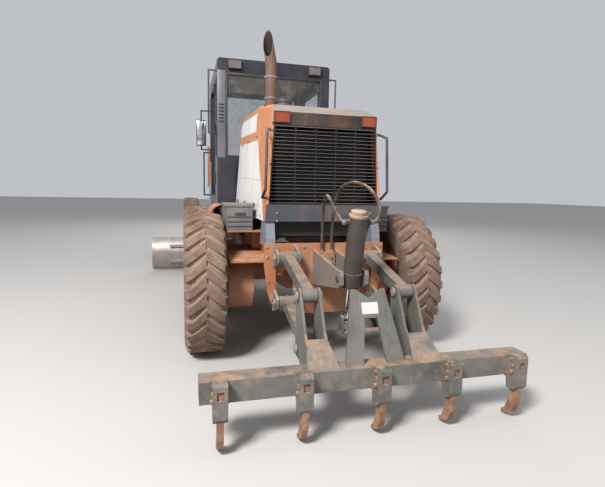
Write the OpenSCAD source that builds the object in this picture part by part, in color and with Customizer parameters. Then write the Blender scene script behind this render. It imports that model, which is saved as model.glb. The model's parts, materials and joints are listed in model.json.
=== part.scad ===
// Motor grader with an articulated frame, leaning front wheels, a moldboard and a rear ripper.
// Millimetres, +X right, +Y forward, +Z up, origin on the ground under the middle of the machine.
// Inside the modules y is measured from the middle of the tandem.

/* [Wheels] */
// Outer diameter over the lugs
tyre_d = 1368; // [1300:1:1440]
// Height of the tyre lugs
lug_h = 29; // [20:1:34]
// Number of lugs on each side of a tyre
lugs = 28; // [20:1:30]
// Section width of a tyre
tyre_w = 375; // [340:1:400]
// Bead seat diameter of a rim
rim_d = 610; // [580:1:640]
// Width of a rim over its flanges
rim_w = 254; // [220:1:280]
// Distance between the middles of the left and right tyres
track = 2106; // [2060:1:2200]
// Distance between the two axles of a tandem
tandem_base = 1572; // [1480:1:1700]
// Middle of the tandem to the front axle
wheel_base = 6219; // [6150:1:6400]

/* [Rear frame] */
// Half width of the rear plate
plate_half = 559; // [540:1:580]
// Back face of the rear plate, behind the tandem
plate_back = 1448; // [1430:1:1500]
// Top of the rear plate
plate_top = 1140; // [1120:1:1160]
// Top of the two side rails
rail_top = 1110; // [1090:1:1120]
// Bottom of the two side rails
rail_bottom = 850; // [840:1:880]
// Articulation pin, ahead of the tandem
pin_y = 2750; // [2740:1:2780]

/* [Hood] */
// Top of the hood at its back end
hood_top = 2370; // [2340:1:2400]
// Rise of the hood's top toward the cab
hood_rise = 160; // [120:1:170]
// Bottom edge of the hood
hood_bottom = 1330; // [1310:1:1350]
// Half width at the bottom edge
hood_half = 550; // [530:1:560]
// Thickness of the hood walls
hood_wall = 30; // [20:1:36]
// Number of slats in the grille
slats = 21; // [12:1:28]
// Diameter of the exhaust stack
stack_d = 108; // [90:1:120]

/* [Cab] */
// Half width of the cab
cab_half = 785; // [760:1:795]
// Top of the roof
roof_top = 3340; // [3300:1:3400]
// Thickness of the cab walls and doors
cab_wall = 50; // [40:1:60]

/* [Front frame] */
// Half width of the arched main beam
beam_half = 140; // [120:1:150]
// Height of the lean pivots
lean_z = 400; // [390:1:410]
// Height of the lean bar above the lean pivots
lean_h = 510; // [500:1:515]

/* [Blade] */
// Length of the moldboard
blade_len = 3660; // [3000:1:3680]
// Middle of the circle, ahead of the tandem
circle_y = 3720; // [3700:1:3740]
// Outer radius of the circle
circle_r = 680; // [660:1:690]
// Inside radius of the moldboard's curve
blade_r = 420; // [400:1:460]
// Thickness of the moldboard
blade_t = 22; // [16:1:26]

/* [Ripper] */
// Length of the tool beam
tool_beam_len = 2320; // [2260:1:2400]
// Distance between two shanks
shank_gap = 520; // [500:1:530]
// Height of the shank tips above the ground
tip_z = 15; // [10:1:40]
// Middle of each link from the centre line
link_x = 375; // [365:1:385]

/* [Hidden] */
$fn = 48;

run_gap = 5;         // between moving pieces
pin_gap = 0.4;       // radial, at pins, shafts and rods
fit = 0.3;           // between fixed pieces that only touch
tyre_r = tyre_d / 2;
axle_z = tyre_r;
axle_half = tandem_base / 2;
wheel_x = track / 2;
rim_r = rim_d / 2;

// Ripper, seen from the side: two parallel links between the frame pins and the tool beam pins
frame_pin = [-1560, 1030];
link_run = [-680, -170];
link_drop = 390;
link_pin_r = 25;
tool_pin = frame_pin + link_run;
tool_y = -2660;                  // back face of the tool beam
tool_depth = 150;
tool_h = 140;
tool_z = 325;
holder_back = 100;
trunnion = [-2110, 950];
rod_eye = [-2040, 606];
shank_t = 40;
shank_d = 70;

// The origin is under the middle of the machine's length
rear_reach = holder_back - tool_y;
front_reach = wheel_base + tyre_r;
tandem_y = (rear_reach - front_reach) / 2;

module block(x0, x1, y0, y1, z0, z1) translate([x0, y0, z0]) cube([x1 - x0, y1 - y0, z1 - z0]);
module xcyl(r, x0, x1, y, z) translate([x0, y, z]) rotate([0, 90, 0]) cylinder(h = x1 - x0, r = r);
module ycyl(r, y0, y1, x, z) translate([x, y1, z]) rotate([90, 0, 0]) cylinder(h = y1 - y0, r = r);
module zcyl(r, z0, z1, x, y) translate([x, y, z0]) cylinder(h = z1 - z0, r = r);
module both() {
    children();
    mirror([1, 0, 0]) children();
}
// A side outline in y and z, made thick along x
module side_plate(x0, x1) translate([x0, 0, 0]) rotate([90, 0, 90]) linear_extrude(x1 - x0) children();
// A cross outline in x and z, made thick along y
module cross_plate(y0, y1) translate([0, y1, 0]) rotate([90, 0, 0]) linear_extrude(y1 - y0) children();
module bar(p, q, r, sides = 48) {
    d = q - p;
    translate(p) rotate([0, acos(d[2] / norm(d)), atan2(d[1], d[0])])
        cylinder(h = norm(d), r = r, $fn = sides);
}
// A bent tube through a list of points
module tube_path(points, r) {
    for (i = [0:len(points) - 2]) bar(points[i], points[i + 1], r, 10);
    if (len(points) > 2) for (i = [1:len(points) - 2]) translate(points[i]) sphere(r = r, $fn = 10);
}

// Tyres and rims turn about x, u runs outward from the middle of the tyre
module turned(side, x, y, z) translate([side * x, y, z]) rotate([0, side * 90, 0])
    rotate_extrude($fn = 72) children();

bead_u = rim_w / 2 - 15;
carcass_r = tyre_r - lug_h;
lug_root = 6;            // how far a lug reaches into the carcass
lug_sweep = 11;          // degrees from the middle of the tread to the shoulder
shoulder = 40;
// Half outline of a tyre, radius and distance from its middle
tyre_half = [[rim_r + pin_gap, bead_u - pin_gap], [rim_r + 25.4, bead_u - pin_gap],
    [rim_r + 45, rim_w / 2 + 8], [rim_r + 110, tyre_w / 2 - 18], [rim_r + 190, tyre_w / 2],
    [carcass_r - 60, tyre_w / 2 - 3], [carcass_r, tyre_w / 2 - shoulder]];
module tyre_outline() polygon(concat(tyre_half,
    [for (i = [len(tyre_half) - 1:-1:0]) [tyre_half[i][0], -tyre_half[i][1]]]));
// One side's lugs, a toothed ring that twists on its way out to the shoulder
lug_profile = [[-0.31, 1], [0.31, 1], [0.5, 0]];   // [share of the pitch, share of the height]
module lug_ring(sweep) linear_extrude(tyre_w / 2 - 14, twist = sweep, slices = 1) difference() {
    polygon([for (i = [0:lugs - 1], p = lug_profile)
        let (a = (i + p[0]) * 360 / lugs, r = carcass_r - lug_root + p[1] * (lug_h + lug_root))
            r * [cos(a), sin(a)]]);
    circle(r = carcass_r - shoulder, $fn = lugs);
}
// Seen from behind, the lugs of every tyre climb toward its middle
module tyre(side, y) color("#4a3a34") translate([side * wheel_x, y, axle_z]) rotate([0, side * 90, 0]) {
    rotate_extrude($fn = 72) tyre_outline();
    lug_ring(-side * lug_sweep);
    rotate([0, 0, 180 / lugs]) mirror([0, 0, 1]) lug_ring(-side * lug_sweep);
}

shaft_r = 45;
hub_r = 120;
case_x = 830;            // outer face of a tandem case
case_in = 588;
case_r = 262;            // round ends of a case
rear_hub_u = case_x + run_gap - wheel_x;
front_hub_u = 880 - wheel_x;
shaft_len = 85;
module rim_outline(hub_u) {
    well_r = rim_r - 20;
    flange_u = rim_w / 2;
    polygon([[0, hub_u + shaft_len], [shaft_r + pin_gap, hub_u + shaft_len], [shaft_r + pin_gap, hub_u],
        [hub_r, hub_u], [hub_r, -110], [well_r, -90], [well_r, -flange_u], [rim_r + 25, -flange_u],
        [rim_r + 25, -bead_u], [rim_r, -bead_u], [rim_r, bead_u], [rim_r + 25, bead_u],
        [rim_r + 25, flange_u], [well_r, flange_u], [well_r, -50], [hub_r + 40, -62],
        [hub_r - 20, -20], [0, -20]]);
}
module rim(side, y, hub_u) color("#8a5a3c") turned(side, wheel_x, y, axle_z) rim_outline(hub_u);

rail_in = 380;
rail_out = 470;
plate_t = 30;
lug_t = 23;
hub_half = 75;           // half width of a link's frame hub
tool_hub_half = 55;
ear_t = 20;
trunnion_arm_in = 85;
trunnion_arm_t = 30;
trunnion_r = 25;

module rear_plate() cross_plate(-plate_back, plate_t - plate_back) difference() {
    polygon([[-plate_half, plate_top], [-plate_half, 950], [-530, 720], [-500, 610], [-415, 535],
        [-300, 500], [300, 500], [415, 535], [500, 610], [530, 720], [plate_half, 950],
        [plate_half, plate_top]]);
    for (s = [-1, 1]) translate([s * link_x - 80, 545]) square([160, 515]);
}
module frame_lugs() both() for (x = [link_x - hub_half - run_gap - lug_t, link_x + hub_half + run_gap])
    // An upper and a lower ear, one for each link
    for (dz = [0, -link_drop])
        side_plate(x, x + lug_t) polygon([for (p = [[-1425, -105], [-1425, 105],
            [frame_pin[0] - 10, 58], [frame_pin[0] - 42, 36], [frame_pin[0] - 50, 0],
            [frame_pin[0] - 42, -36], [frame_pin[0] - 10, -58]]) [p[0], p[1] + frame_pin[1] + dz]]);
module frame_pins() both() for (dz = [0, -link_drop])
    xcyl(link_pin_r, link_x - hub_half - run_gap - lug_t - 8, link_x + hub_half + run_gap + lug_t + 8,
        frame_pin[0], frame_pin[1] + dz);
module trunnion_arms() both() difference() {
    side_plate(trunnion_arm_in, trunnion_arm_in + trunnion_arm_t)
        polygon([[-1430, 760], [-1430, 1080], [trunnion[0] + 60, trunnion[1] + 62],
            [trunnion[0] - 45, trunnion[1] + 62], [trunnion[0] - 62, trunnion[1] + 30],
            [trunnion[0] - 62, trunnion[1] - 40], [trunnion[0] - 20, trunnion[1] - 70]]);
    xcyl(trunnion_r + pin_gap, 0, 200, trunnion[0], trunnion[1]);
}
hinge_r = 40;
ear_r = 120;
ear_low = [690, 735];
ear_high = [1065, rail_top];
module hinge_ears() {
    for (z = [ear_low, ear_high]) {
        zcyl(ear_r, z[0], z[1], 0, pin_y);
        block(-ear_r, ear_r, 2380, pin_y, z[0], z[1]);
    }
    zcyl(hinge_r, ear_low[0] - 20, ear_high[1] + 20, 0, pin_y);
    block(-ear_r, ear_r, 2380, 2500, ear_low[0], ear_high[1]);
}
module rear_frame() color("#c4713f") {
    rear_plate();
    both() block(rail_in, rail_out, plate_t - plate_back, 2380, rail_bottom, rail_top);
    for (y = [-1418, -900, 1150]) block(-rail_in, rail_in, y, y + 60, 900, 1080);
    both() cross_plate(2300, 2380) polygon([[0, 760], [0, rail_top], [rail_out, rail_top],
        [rail_out, rail_bottom], [250, 690], [0, 690]]);
    both() block(0, 250, 2380, 2400, 690, rail_top);
    block(-65, 70, -1506, -1420, 950, valve_top);
    frame_lugs();
    frame_pins();
    trunnion_arms();
    hinge_ears();
    both() {
        // Rear hood gussets and front hood posts
        side_plate(rail_out - 12, 540) polygon([[-1418, 1100], [-1418, 1180], [-1380, hood_bottom - fit],
            [-1180, hood_bottom - fit], [-1080, 1100]]);
        block(rail_out - 20, 530, 620, 700, 1000, hood_bottom - fit);
        // Cab mounts
        for (y = [1060, 2180]) block(rail_in, rail_out, y, y + 100, 1090, 1330 - fit);
        // Battery tray and its gusset
        block(rail_out - 10, 840, -960, -340, 1195, 1210 - fit);
        block(rail_out - 10, 560, -700, -660, 1000, 1200);
        // Mud plate over the tandem case
        side_plate(rail_out - 10, 830) polygon([[-1240, 940], [-1240, 952], [-420, 1010], [-420, 998]]);
    }
}

module rear_axle() color("#b5602f") {
    xcyl(150, -case_in - 3, case_in + 3, 0, axle_z);
    ycyl(240, -190, 190, 0, axle_z);
    ycyl(170, -240, 240, 0, axle_z);
    both() {
        block(370, 480, -150, 150, axle_z + 60, rail_bottom - fit);
        // The case is a little lower between its round ends
        block(case_in, case_x, -axle_half, axle_half, axle_z - case_r + 20, axle_z + case_r - 30);
        for (s = [-1, 1]) xcyl(case_r, case_in, case_x, s * axle_half, axle_z);
        for (s = [-1, 1]) {
            xcyl(shaft_r, case_x - 10, case_x + shaft_len, s * axle_half, axle_z);
            xcyl(180, case_in - 12, case_in + 2, s * axle_half, axle_z);
        }
        xcyl(185, case_in - 20, case_in + 2, 0, axle_z);
    }
}

hood_back = 1400;
lamp_x = 405;
hood_front = 900;
side_lean = 0.075;       // the sides pull in by this share of the height
function hood_x(z) = hood_half - (z - hood_bottom) * side_lean;
module hood_cross(inset) polygon([
    for (p = [[-1, hood_bottom - 1], [-1, 2600], [1, 2600], [1, hood_bottom - 1]])
        [p[0] * (hood_x(p[1]) - inset), p[1]]]);
// The top rises from the back end, and drops again before the cab
hood_line = [[35 - hood_back, hood_top - 85], [-1200, hood_top], [-420, hood_top + 0.72 * hood_rise],
    [720, hood_top + hood_rise]];
module hood_side(inset) polygon(concat([[inset - hood_back, hood_bottom - inset]],
    [for (p = hood_line) [p[0] + (p[0] < -1300 ? inset : 0), p[1] - inset]],
    [[hood_front - inset, hood_line[3][1] - 130 - inset], [hood_front - inset, hood_bottom - inset]]));
// Cuts along the two top edges behind the cab, each long enough to leave the body at both ends
bevel = 44;
module hood_bevels() both() for (i = [1:2]) {
    p = hood_line[i];
    run = hood_line[i + 1] - p;
    translate([hood_x(p[1]), p[0], p[1]]) rotate([atan2(run[1], run[0]), 0, 0]) rotate([0, 45, 0])
        translate([-bevel / 2, -450, -bevel / 2]) cube([bevel, norm(run) + 900, bevel]);
}
module hood_body(inset) intersection() {
    cross_plate(-1500, 1000) hood_cross(inset);
    side_plate(-600, 600) hood_side(inset);
}
module hood_shell() difference() {
    hood_body(0);
    hood_body(hood_wall);
    hood_bevels();
}
// Side door opening, as an outline in y and z
door_edge = [[-1080, 1400], [-1080, 1960], [-760, 2150], [760, 2150], [760, 1400]];
module panel_zone(grow) both() side_plate(350, 600) polygon([for (p = door_edge)
    [p[0] + (p[0] < 0 ? -grow : grow), p[1] + (p[1] < 1500 ? -grow : grow)]]);
grille_z = [1480, 2172];
module grille_outline(grow) polygon([[-515 - grow, grille_z[0] - grow], [-472 - grow, grille_z[1] + grow],
    [472 + grow, grille_z[1] + grow], [515 + grow, grille_z[0] - grow]]);
module hood() color("#c87a45") difference() {
    hood_shell();
    panel_zone(fit);
    cross_plate(-1450, -1300) grille_outline(fit);
    both() block(lamp_x - 65, lamp_x + 65, -1450, -1345, 2194, 2280);
    // Openings for the stack and the pre-cleaner's neck
    zcyl(stack_d / 2 + 3, hood_top - 100, hood_top + hood_rise, stack_x, stack_y);
    zcyl(neck_r + 3, hood_top - 100, hood_top + hood_rise + 10, cleaner[0], cleaner[1]);
}
// Height and slope of the hood's top at a place along it
function line_at(y) = y < hood_line[2][0] ? 1 : 2;
function top_slope(y) = let (r = hood_line[line_at(y) + 1] - hood_line[line_at(y)]) atan2(r[1], r[0]);
function top_z(y) = hood_line[line_at(y)][1] + (y - hood_line[line_at(y)][0]) * tan(top_slope(y));
// A flat ring on the sloped top, round a pipe
module hood_collar(x, y, r_in, r_out) translate([x, y, top_z(y) + fit]) rotate([top_slope(y), 0, 0])
    linear_extrude(12) difference() {
        circle(r = r_out);
        circle(r = r_in);
    }
// Columns of the louvre table: first y, last y, lowest z, number of slots
louvres = [[-960, -560, 1500, 7], [-480, -80, 1500, 9], [120, 620, 1500, 9]];
louvre_pitch = 48;
louvre_slot = 16;
module side_panels() color("#e8e6e2") difference() {
    intersection() {
        hood_shell();
        panel_zone(0);
    }
    for (l = louvres, i = [0:l[3] - 1]) both()
        block(350, 600, l[0], l[1], l[2] + i * louvre_pitch, l[2] + i * louvre_pitch + louvre_slot);
}
slat_t = 7;
grille_posts = [-515, -279, -93, 93, 279, 515];
post_t = 10;
module grille() color("#17181a") {
    pitch = (grille_z[1] - grille_z[0] - 30) / slats;
    cross_plate(-1386, -1362) difference() {
        grille_outline(0);
        intersection() {
            grille_outline(-12);
            for (i = [0:slats - 1], k = [0:4])
                translate([grille_posts[k] + post_t / 2, grille_z[0] + 15 + i * pitch + slat_t / 2])
                    square([grille_posts[k + 1] - grille_posts[k] - post_t, pitch - slat_t]);
        }
    }
}
module tail_lamps() color("#c8401c") both()
    block(lamp_x - 64, lamp_x + 64, -1392, -1345 - fit, 2195, 2279);
module engine_block() color("#2c2c2e") {
    block(-330, 330, -1000, 480, 1150, 1900);
    both() block(320, 440, -760, -640, rail_top + fit, 1220);
    both() block(320, 440, 240, 360, rail_top + fit, 1220);
    block(-440, 440, -1300, -1180, 1190, 2140);
    block(-60, 60, -1185, -990, 1500, 1700);
}

stack_x = -392;
stack_y = -790;
stack_wall = 7;
elbow_z = 2795;
elbow_r = 200;
elbow_a = 25;            // degrees the top is bent over
elbow_turn = 53;         // degrees from straight left toward the back
mouth_len = 240;
mouth_low = 10;
// The straight pipes reach a little way into the thicker wall of the elbow
sleeve = 4;
module stack_ring(grow = 0) difference() {
    circle(r = stack_d / 2 + grow);
    circle(r = stack_d / 2 - stack_wall - grow);
}
// End of the elbow, its bend turned toward -x
module at_mouth() translate([-elbow_r, 0, 0]) rotate([0, -elbow_a, 0]) translate([elbow_r, 0, 0]) children();
module exhaust() color("#6d4b3f") {
    translate([stack_x, stack_y, hood_top]) linear_extrude(elbow_z + sleeve - hood_top) stack_ring();
    hood_collar(stack_x, stack_y, stack_d / 2 - 1, stack_d / 2 + 14);
    translate([stack_x, stack_y, elbow_z]) rotate([0, 0, elbow_turn]) {
        translate([-elbow_r, 0, 0]) rotate([90, 0, 0]) rotate_extrude(angle = elbow_a)
            translate([elbow_r, 0]) stack_ring(2);
        // The mouth is cut on a long slant
        at_mouth() difference() {
            translate([0, 0, -sleeve]) linear_extrude(mouth_len + sleeve) stack_ring();
            translate([-stack_d / 2, -100, mouth_low])
                rotate([0, -atan2(mouth_len - mouth_low, stack_d), 0])
                    translate([-50, 0, 0]) cube([400, 200, 250]);
        }
    }
}
cleaner = [-107, -100];
neck_r = 55;
bowl_z = [2560, 2635];
module pre_cleaner() color("#202226") {
    zcyl(neck_r, hood_top + 20, bowl_z[0] + 10, cleaner[0], cleaner[1]);
    hood_collar(cleaner[0], cleaner[1], neck_r - 1, neck_r + 18);
    zcyl(95, bowl_z[0], bowl_z[1], cleaner[0], cleaner[1]);
    translate([cleaner[0], cleaner[1], bowl_z[1]]) cylinder(h = 28, r1 = 95, r2 = 60);
}

module battery_boxes() color("#55585a") both() {
    block(590, 838, -950, -350, 1210, 1440);
    block(582, 846, -958, -342, 1440, 1462);
}
tank_y = [1560, 2290];
module tanks() color("#3b3d3f") both() difference() {
    block(rail_out + fit, 800, tank_y[0], tank_y[1], 740, 1200);
    // Sloped outer bottom edge
    side_edge = 140;
    translate([800, tank_y[0] - 5, 740]) rotate([0, 45, 0])
        translate([-side_edge / 2, 0, -side_edge / 2]) cube([side_edge, 760, side_edge]);
}
guard_mid = [833, 1303];
guard_r = 134;
guard_t = 8;
module platforms() color("#3a3634") both() {
    // Catwalk beside the hood
    block(565, 850, -300, 985, 1386, 1400);
    block(565, 579, -300, 985, 1340, 1400);
    for (y = [-300, 900]) cross_plate(y, y + 14) polygon([[rail_out + fit, 1010], [rail_out + fit, 1110],
        [557, 1325], [565, 1390], [850, 1390], [850, 1350], [600, 1290]]);
    // Rolled mud guard between the two tyres
    cross_plate(-330, 300) polygon(concat([[guard_mid[0] + guard_r, 1225]],
        [for (a = [0:15:90]) guard_mid + guard_r * [cos(a), sin(a)]],
        [[825, guard_mid[1] + guard_r], [825, 1390], [guard_mid[0], 1390]],
        [for (a = [90:-15:0]) guard_mid + (guard_r - guard_t) * [cos(a), sin(a)]],
        [[guard_mid[0] + guard_r - guard_t, 1225]]));
    // Ladder ahead of the wheel
    for (y = [1570, 2036]) block(800 + fit, 1120, y, y + 14, 480, 1330);
    for (z = [480, 760, 1040]) block(812, 1120, 1570, 2050, z, z + 16);
    block(rail_out + 62, 1120, 1570, 2070, 1310, 1326);
    block(rail_out + 62, 800, 1700, 1900, 1200 + fit, 1311);
}

cab_back = 990;
cab_floor = 1330;
cab_front_top = 2650;
cab_front_belt = 2690;
cab_front_low = 2560;
module cab_side(inset, floor_t, roof_t) polygon([[cab_back + inset, cab_floor + floor_t],
    [cab_back + inset, roof_top - roof_t], [cab_front_top - inset, roof_top - roof_t],
    [cab_front_belt - inset, 2200], [cab_front_low - inset, cab_floor + floor_t]]);
door_y = [1330, 2380];
door_z = [1395, roof_top - 170];
glass_top = roof_top - 190;
quarter_top = roof_top - 240;
win_half = 665;
quarter_y = [2440, 2590];
hinge_x = cab_half + 14;
hinge_z = [1700, 2400, 2950];
knuckle_h = 90;
hinge_y = door_y[0] + run_gap;
module cab_hinges() both() for (z = hinge_z) {
    zcyl(6, z - 24, z + knuckle_h + 24, hinge_x, hinge_y);
    for (z0 = [z - 24, z + knuckle_h + 4]) {
        zcyl(10, z0, z0 + 20, hinge_x, hinge_y);
        block(hinge_x - 9, hinge_x + 10, 1300, hinge_y, z0, z0 + 20);
        block(cab_half - 5, hinge_x, 1300, 1322, z0, z0 + 20);
    }
}
module cab() color("#22262e") {
    cab_shell();
    cab_hinges();
}
module cab_shell() difference() {
    side_plate(-cab_half, cab_half) cab_side(0, 0, 0);
    side_plate(cab_wall - cab_half, cab_half - cab_wall) cab_side(cab_wall, 60, 110);
    block(-win_half, win_half, 900, 1100, 2050, glass_top);
    block(-win_half, win_half, 2400, 2800, 2150, glass_top);
    block(-win_half, win_half, 2300, 2800, 1480, 2080);
    both() {
        block(700, 800, door_y[0], door_y[1], door_z[0], door_z[1]);
        block(700, 800, 1090, 1270, 2050, quarter_top);
        block(700, 800, quarter_y[0], quarter_y[1], 2250, quarter_top);
    }
    // Cab sides pull in along the roof edge
    both() translate([cab_half, 900, roof_top]) rotate([0, 45, 0])
        translate([-20, 0, -20]) cube([40, 2000, 40]);
}
glass_t = 6;
module cab_glass() color([0.55, 0.65, 0.68, 0.5]) {
    block(fit - win_half, win_half - fit, 1010, 1010 + glass_t, 2050 + fit, glass_top - fit);
    // Windshield and lower front window follow the slope of the front
    intersection() {
        difference() {
            side_plate(-cab_half, cab_half) cab_side(20, 0, 0);
            side_plate(-cab_half, cab_half) cab_side(20 + glass_t, 0, 0);
        }
        union() {
            block(fit - win_half, win_half - fit, 2400, 2800, 2150 + fit, glass_top - fit);
            block(fit - win_half, win_half - fit, 2300, 2800, 1480 + fit, 2080 - fit);
        }
    }
    both() {
        block(755, 755 + glass_t, 1090 + fit, 1270 - fit, 2050 + fit, quarter_top - fit);
        block(755, 755 + glass_t, quarter_y[0] + fit, quarter_y[1] - fit, 2250 + fit, quarter_top - fit);
    }
}
module seat() color("#2a2a2c") {
    block(-120, 120, 1330, 1620, 1390 + fit, 1640);
    block(-240, 240, 1260, 1720, 1640, 1780);
    side_plate(-230, 230) polygon([[1330, 1780], [1390, 1780], [1320, 2380], [1240, 2380], [1220, 1780]]);
}
module console() color("#303338") {
    side_plate(-130, 130) polygon([[2180, 1390 + fit], [2330, 1390 + fit], [2260, 2080], [2100, 2130]]);
    bar([0, 2130, 2090], [0, 2040, 2180], 22);
    translate([0, 2035, 2185]) rotate([45, 0, 0])
        rotate_extrude() translate([190, 0]) circle(r = 14, $fn = 16);
    translate([0, 2035, 2185]) rotate([45, 0, 0]) block(-185, 185, -15, 15, -8, 8);
    both() block(140, 420, 2060, 2140, 1880, 1960);
    block(-420, 420, 2110, 2150, 1890, 1950);
}

module door(side) color("#23262c") mirror([side < 0 ? 1 : 0, 0, 0]) {
    gy = [door_y[0] + run_gap, door_y[1] - run_gap];
    gz = [door_z[0] + run_gap, door_z[1] - run_gap];
    difference() {
        block(cab_half - cab_wall, cab_half, gy[0], gy[1], gz[0], gz[1]);
        block(700, 800, gy[0] + 65, gy[1] - 65, gz[0] + 110, gz[1] - 65);
    }
    for (z = hinge_z) difference() {
        union() {
            zcyl(10, z, z + knuckle_h, hinge_x, hinge_y);
            block(cab_half - 4, hinge_x, hinge_y, hinge_y + 40, z, z + knuckle_h);
        }
        zcyl(6 + pin_gap, z - 5, z + knuckle_h + 5, hinge_x, hinge_y);
    }
    block(cab_half - 2, cab_half + 26, gy[1] - 50, gy[1] - 20, 2050, 2250);
}
module door_glass(side) color([0.55, 0.65, 0.68, 0.5]) mirror([side < 0 ? 1 : 0, 0, 0])
    block(757, 757 + glass_t, door_y[0] + run_gap + 65 + fit, door_y[1] - run_gap - 65 - fit,
        door_z[0] + run_gap + 110 + fit, door_z[1] - run_gap - 65 - fit);

rail_r = 12;
rail_foot = 1.2;         // the ends stand off the leaning side by this much
cab_rail_z = [2360, roof_top - 160];
module hand_rails() color("#2b2724") both() {
    // Grab rails on the back corners of the hood
    tube_path([[hood_x(2130) + rail_foot, -1350, 2130], [530, -1350, 2130], [548, -1470, 2090],
        [562, -1490, 1610], [566, -1350, 1540], [hood_x(1540) + rail_foot, -1350, 1540]], rail_r);
    // Rails on the back corners of the cab
    tube_path([for (p = [[cab_half + fit, cab_rail_z[1]], [895, cab_rail_z[1]], [895, cab_rail_z[0]],
        [cab_half + fit, cab_rail_z[0]]]) [p[0], 1040, p[1]]], rail_r);
    // Ladder rail
    tube_path([[cab_half + fit, 2450, 1500], [900, 2450, 1500], [900, 2450, 2200],
        [cab_half + fit, 2450, 2200]], rail_r);
}
mirror_y = 2620;
module mirrors() color("#202225") both() {
    tube_path([[cab_half + fit, mirror_y, 2900], [935, mirror_y, 2900], [935, mirror_y, 2260],
        [cab_half + fit, mirror_y, 2260]], rail_r);
    block(855, 1015, mirror_y - 60, mirror_y - rail_r - fit, 2320, 2740);
}
lamp_z = roof_top - 80;
module work_lamps() color("#d8d2c0") {
    both() block(467, 641, 942, cab_back - fit, lamp_z - 55, lamp_z + 55);
    both() block(450, 620, cab_front_top + 5, cab_front_top + 60, lamp_z - 50, lamp_z + 50);
}

// A hose is swept along its own points, a ring of eight at each
hose_r = 13;
function ring_dir(p, i) = let (a = p[max(i - 1, 0)], b = p[min(i + 1, len(p) - 1)]) (b - a) / norm(b - a);
function ring(p, i) = let (t = ring_dir(p, i), s = cross(t, [0, 1, 0.2]), u = s / norm(s), v = cross(t, u))
    [for (k = [0:7]) p[i] + hose_r * (cos(45 * k) * u + sin(45 * k) * v)];
module hose(p) color("#1d1c1b") {
    n = len(p);
    polyhedron(points = [for (i = [0:n - 1]) each ring(p, i)], faces = concat(
        [[for (k = [0:7]) k]], [[for (k = [7:-1:0]) (n - 1) * 8 + k]],
        [for (i = [0:n - 2], k = [0:7]) let (a = i * 8 + k, b = i * 8 + (k + 1) % 8)
            each [[a, a + 8, b + 8], [a, b + 8, b]]]));
}
cyl_x = 0;
// Each hose runs from the valve block on the rear plate, in a high loop, to a port on the barrel
port = [-2199, 1386];
port_x = 96 + fit;
valve_top = 1064;
hose_routes = [
    [[-45, -1478, valve_top + fit], [-45, -1478, 1160], [-55, -1510, 1330], [-72, -1580, 1460],
        [-96, -1690, 1540], [-118, -1810, 1570], [-130, -1930, 1545], [-134, -2040, 1490],
        [-130, -2130, 1430], [-126, -2180, 1398], [-112, port[0], port[1]],
        [-port_x, port[0], port[1]]],
    [[45, -1478, valve_top + fit], [45, -1478, 1200], [44, -1510, 1420], [48, -1590, 1570],
        [62, -1720, 1655], [90, -1870, 1680], [130, -2000, 1655], [165, -2100, 1590],
        [180, -2170, 1500], [165, -2195, 1425], [135, -2199, 1390], [112, port[0], port[1]],
        [port_x, port[0], port[1]]],
];

beam_side = [[pin_y, 740], [pin_y, 1060], [2880, 1060], [2880, 1125], [2810, 1210], [2810, 1500],
    [2900, 1740], [3150, 1880], [3500, 1900], [5300, 1750], [6060, 1480], [6380, 1440],
    [6380, 1180], [6060, 1150], [5250, 1440], [3330, 1560], [3120, 1500], [3010, 1320],
    [2990, 1100], [2990, 740]];
lift_x = 730;
nose_hole_r = 11;
nose_hole_x = 90;
lift_y = 3550;
lift_top_z = 1750;
lift_eye = [3550, 850];
draw_pin = [5720, 800];
axle_y = wheel_base;
module front_frame() color("#c4713f") {
    difference() {
        union() {
            side_plate(-beam_half, beam_half) polygon(beam_side);
            zcyl(100, 740, 1060, 0, pin_y);
        }
        zcyl(hinge_r + pin_gap, 700, 1100, 0, pin_y);
        // Threaded holes in the nose for a push plate
        both() for (z = [1250, 1370]) ycyl(nose_hole_r, 6330, 6400, nose_hole_x, z);
    }
    // Saddle for the lift cylinders
    block(-beam_half - 20, beam_half + 20, lift_y - 80, lift_y + 80, 1520, 1925);
    both() difference() {
        cross_plate(lift_y - 50, lift_y + 50) polygon([[beam_half, 1600], [beam_half, 1880], [300, 1850],
            [lift_x - 60, 1810], [lift_x - 60, 1690], [300, 1660]]);
        xcyl(25 + pin_gap, lift_x - 130, lift_x, lift_y, lift_top_z);
    }
    // Bolster over the front axle
    block(-110, 110, axle_y - 100, axle_y + 100, 720 + fit, 1200);
    block(-170, 170, axle_y - 90, axle_y + 90, 1130, 1200);
    both() {
        side_plate(72, 97) polygon([for (p = [[-60, 760], [-60, 1330], [100, 1330], [60, 760]])
            [draw_pin[0] + p[0], p[1]]]);
        block(beam_half, beam_half + 260, 5980, 6040, 1330, 1370);
    }
    xcyl(30, -105, 105, draw_pin[0], draw_pin[1]);
}
module head_lamps() color("#d8d2c0") both() {
    block(300, 440, 5970, 6060, 1370 + fit, 1500);
}

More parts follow.
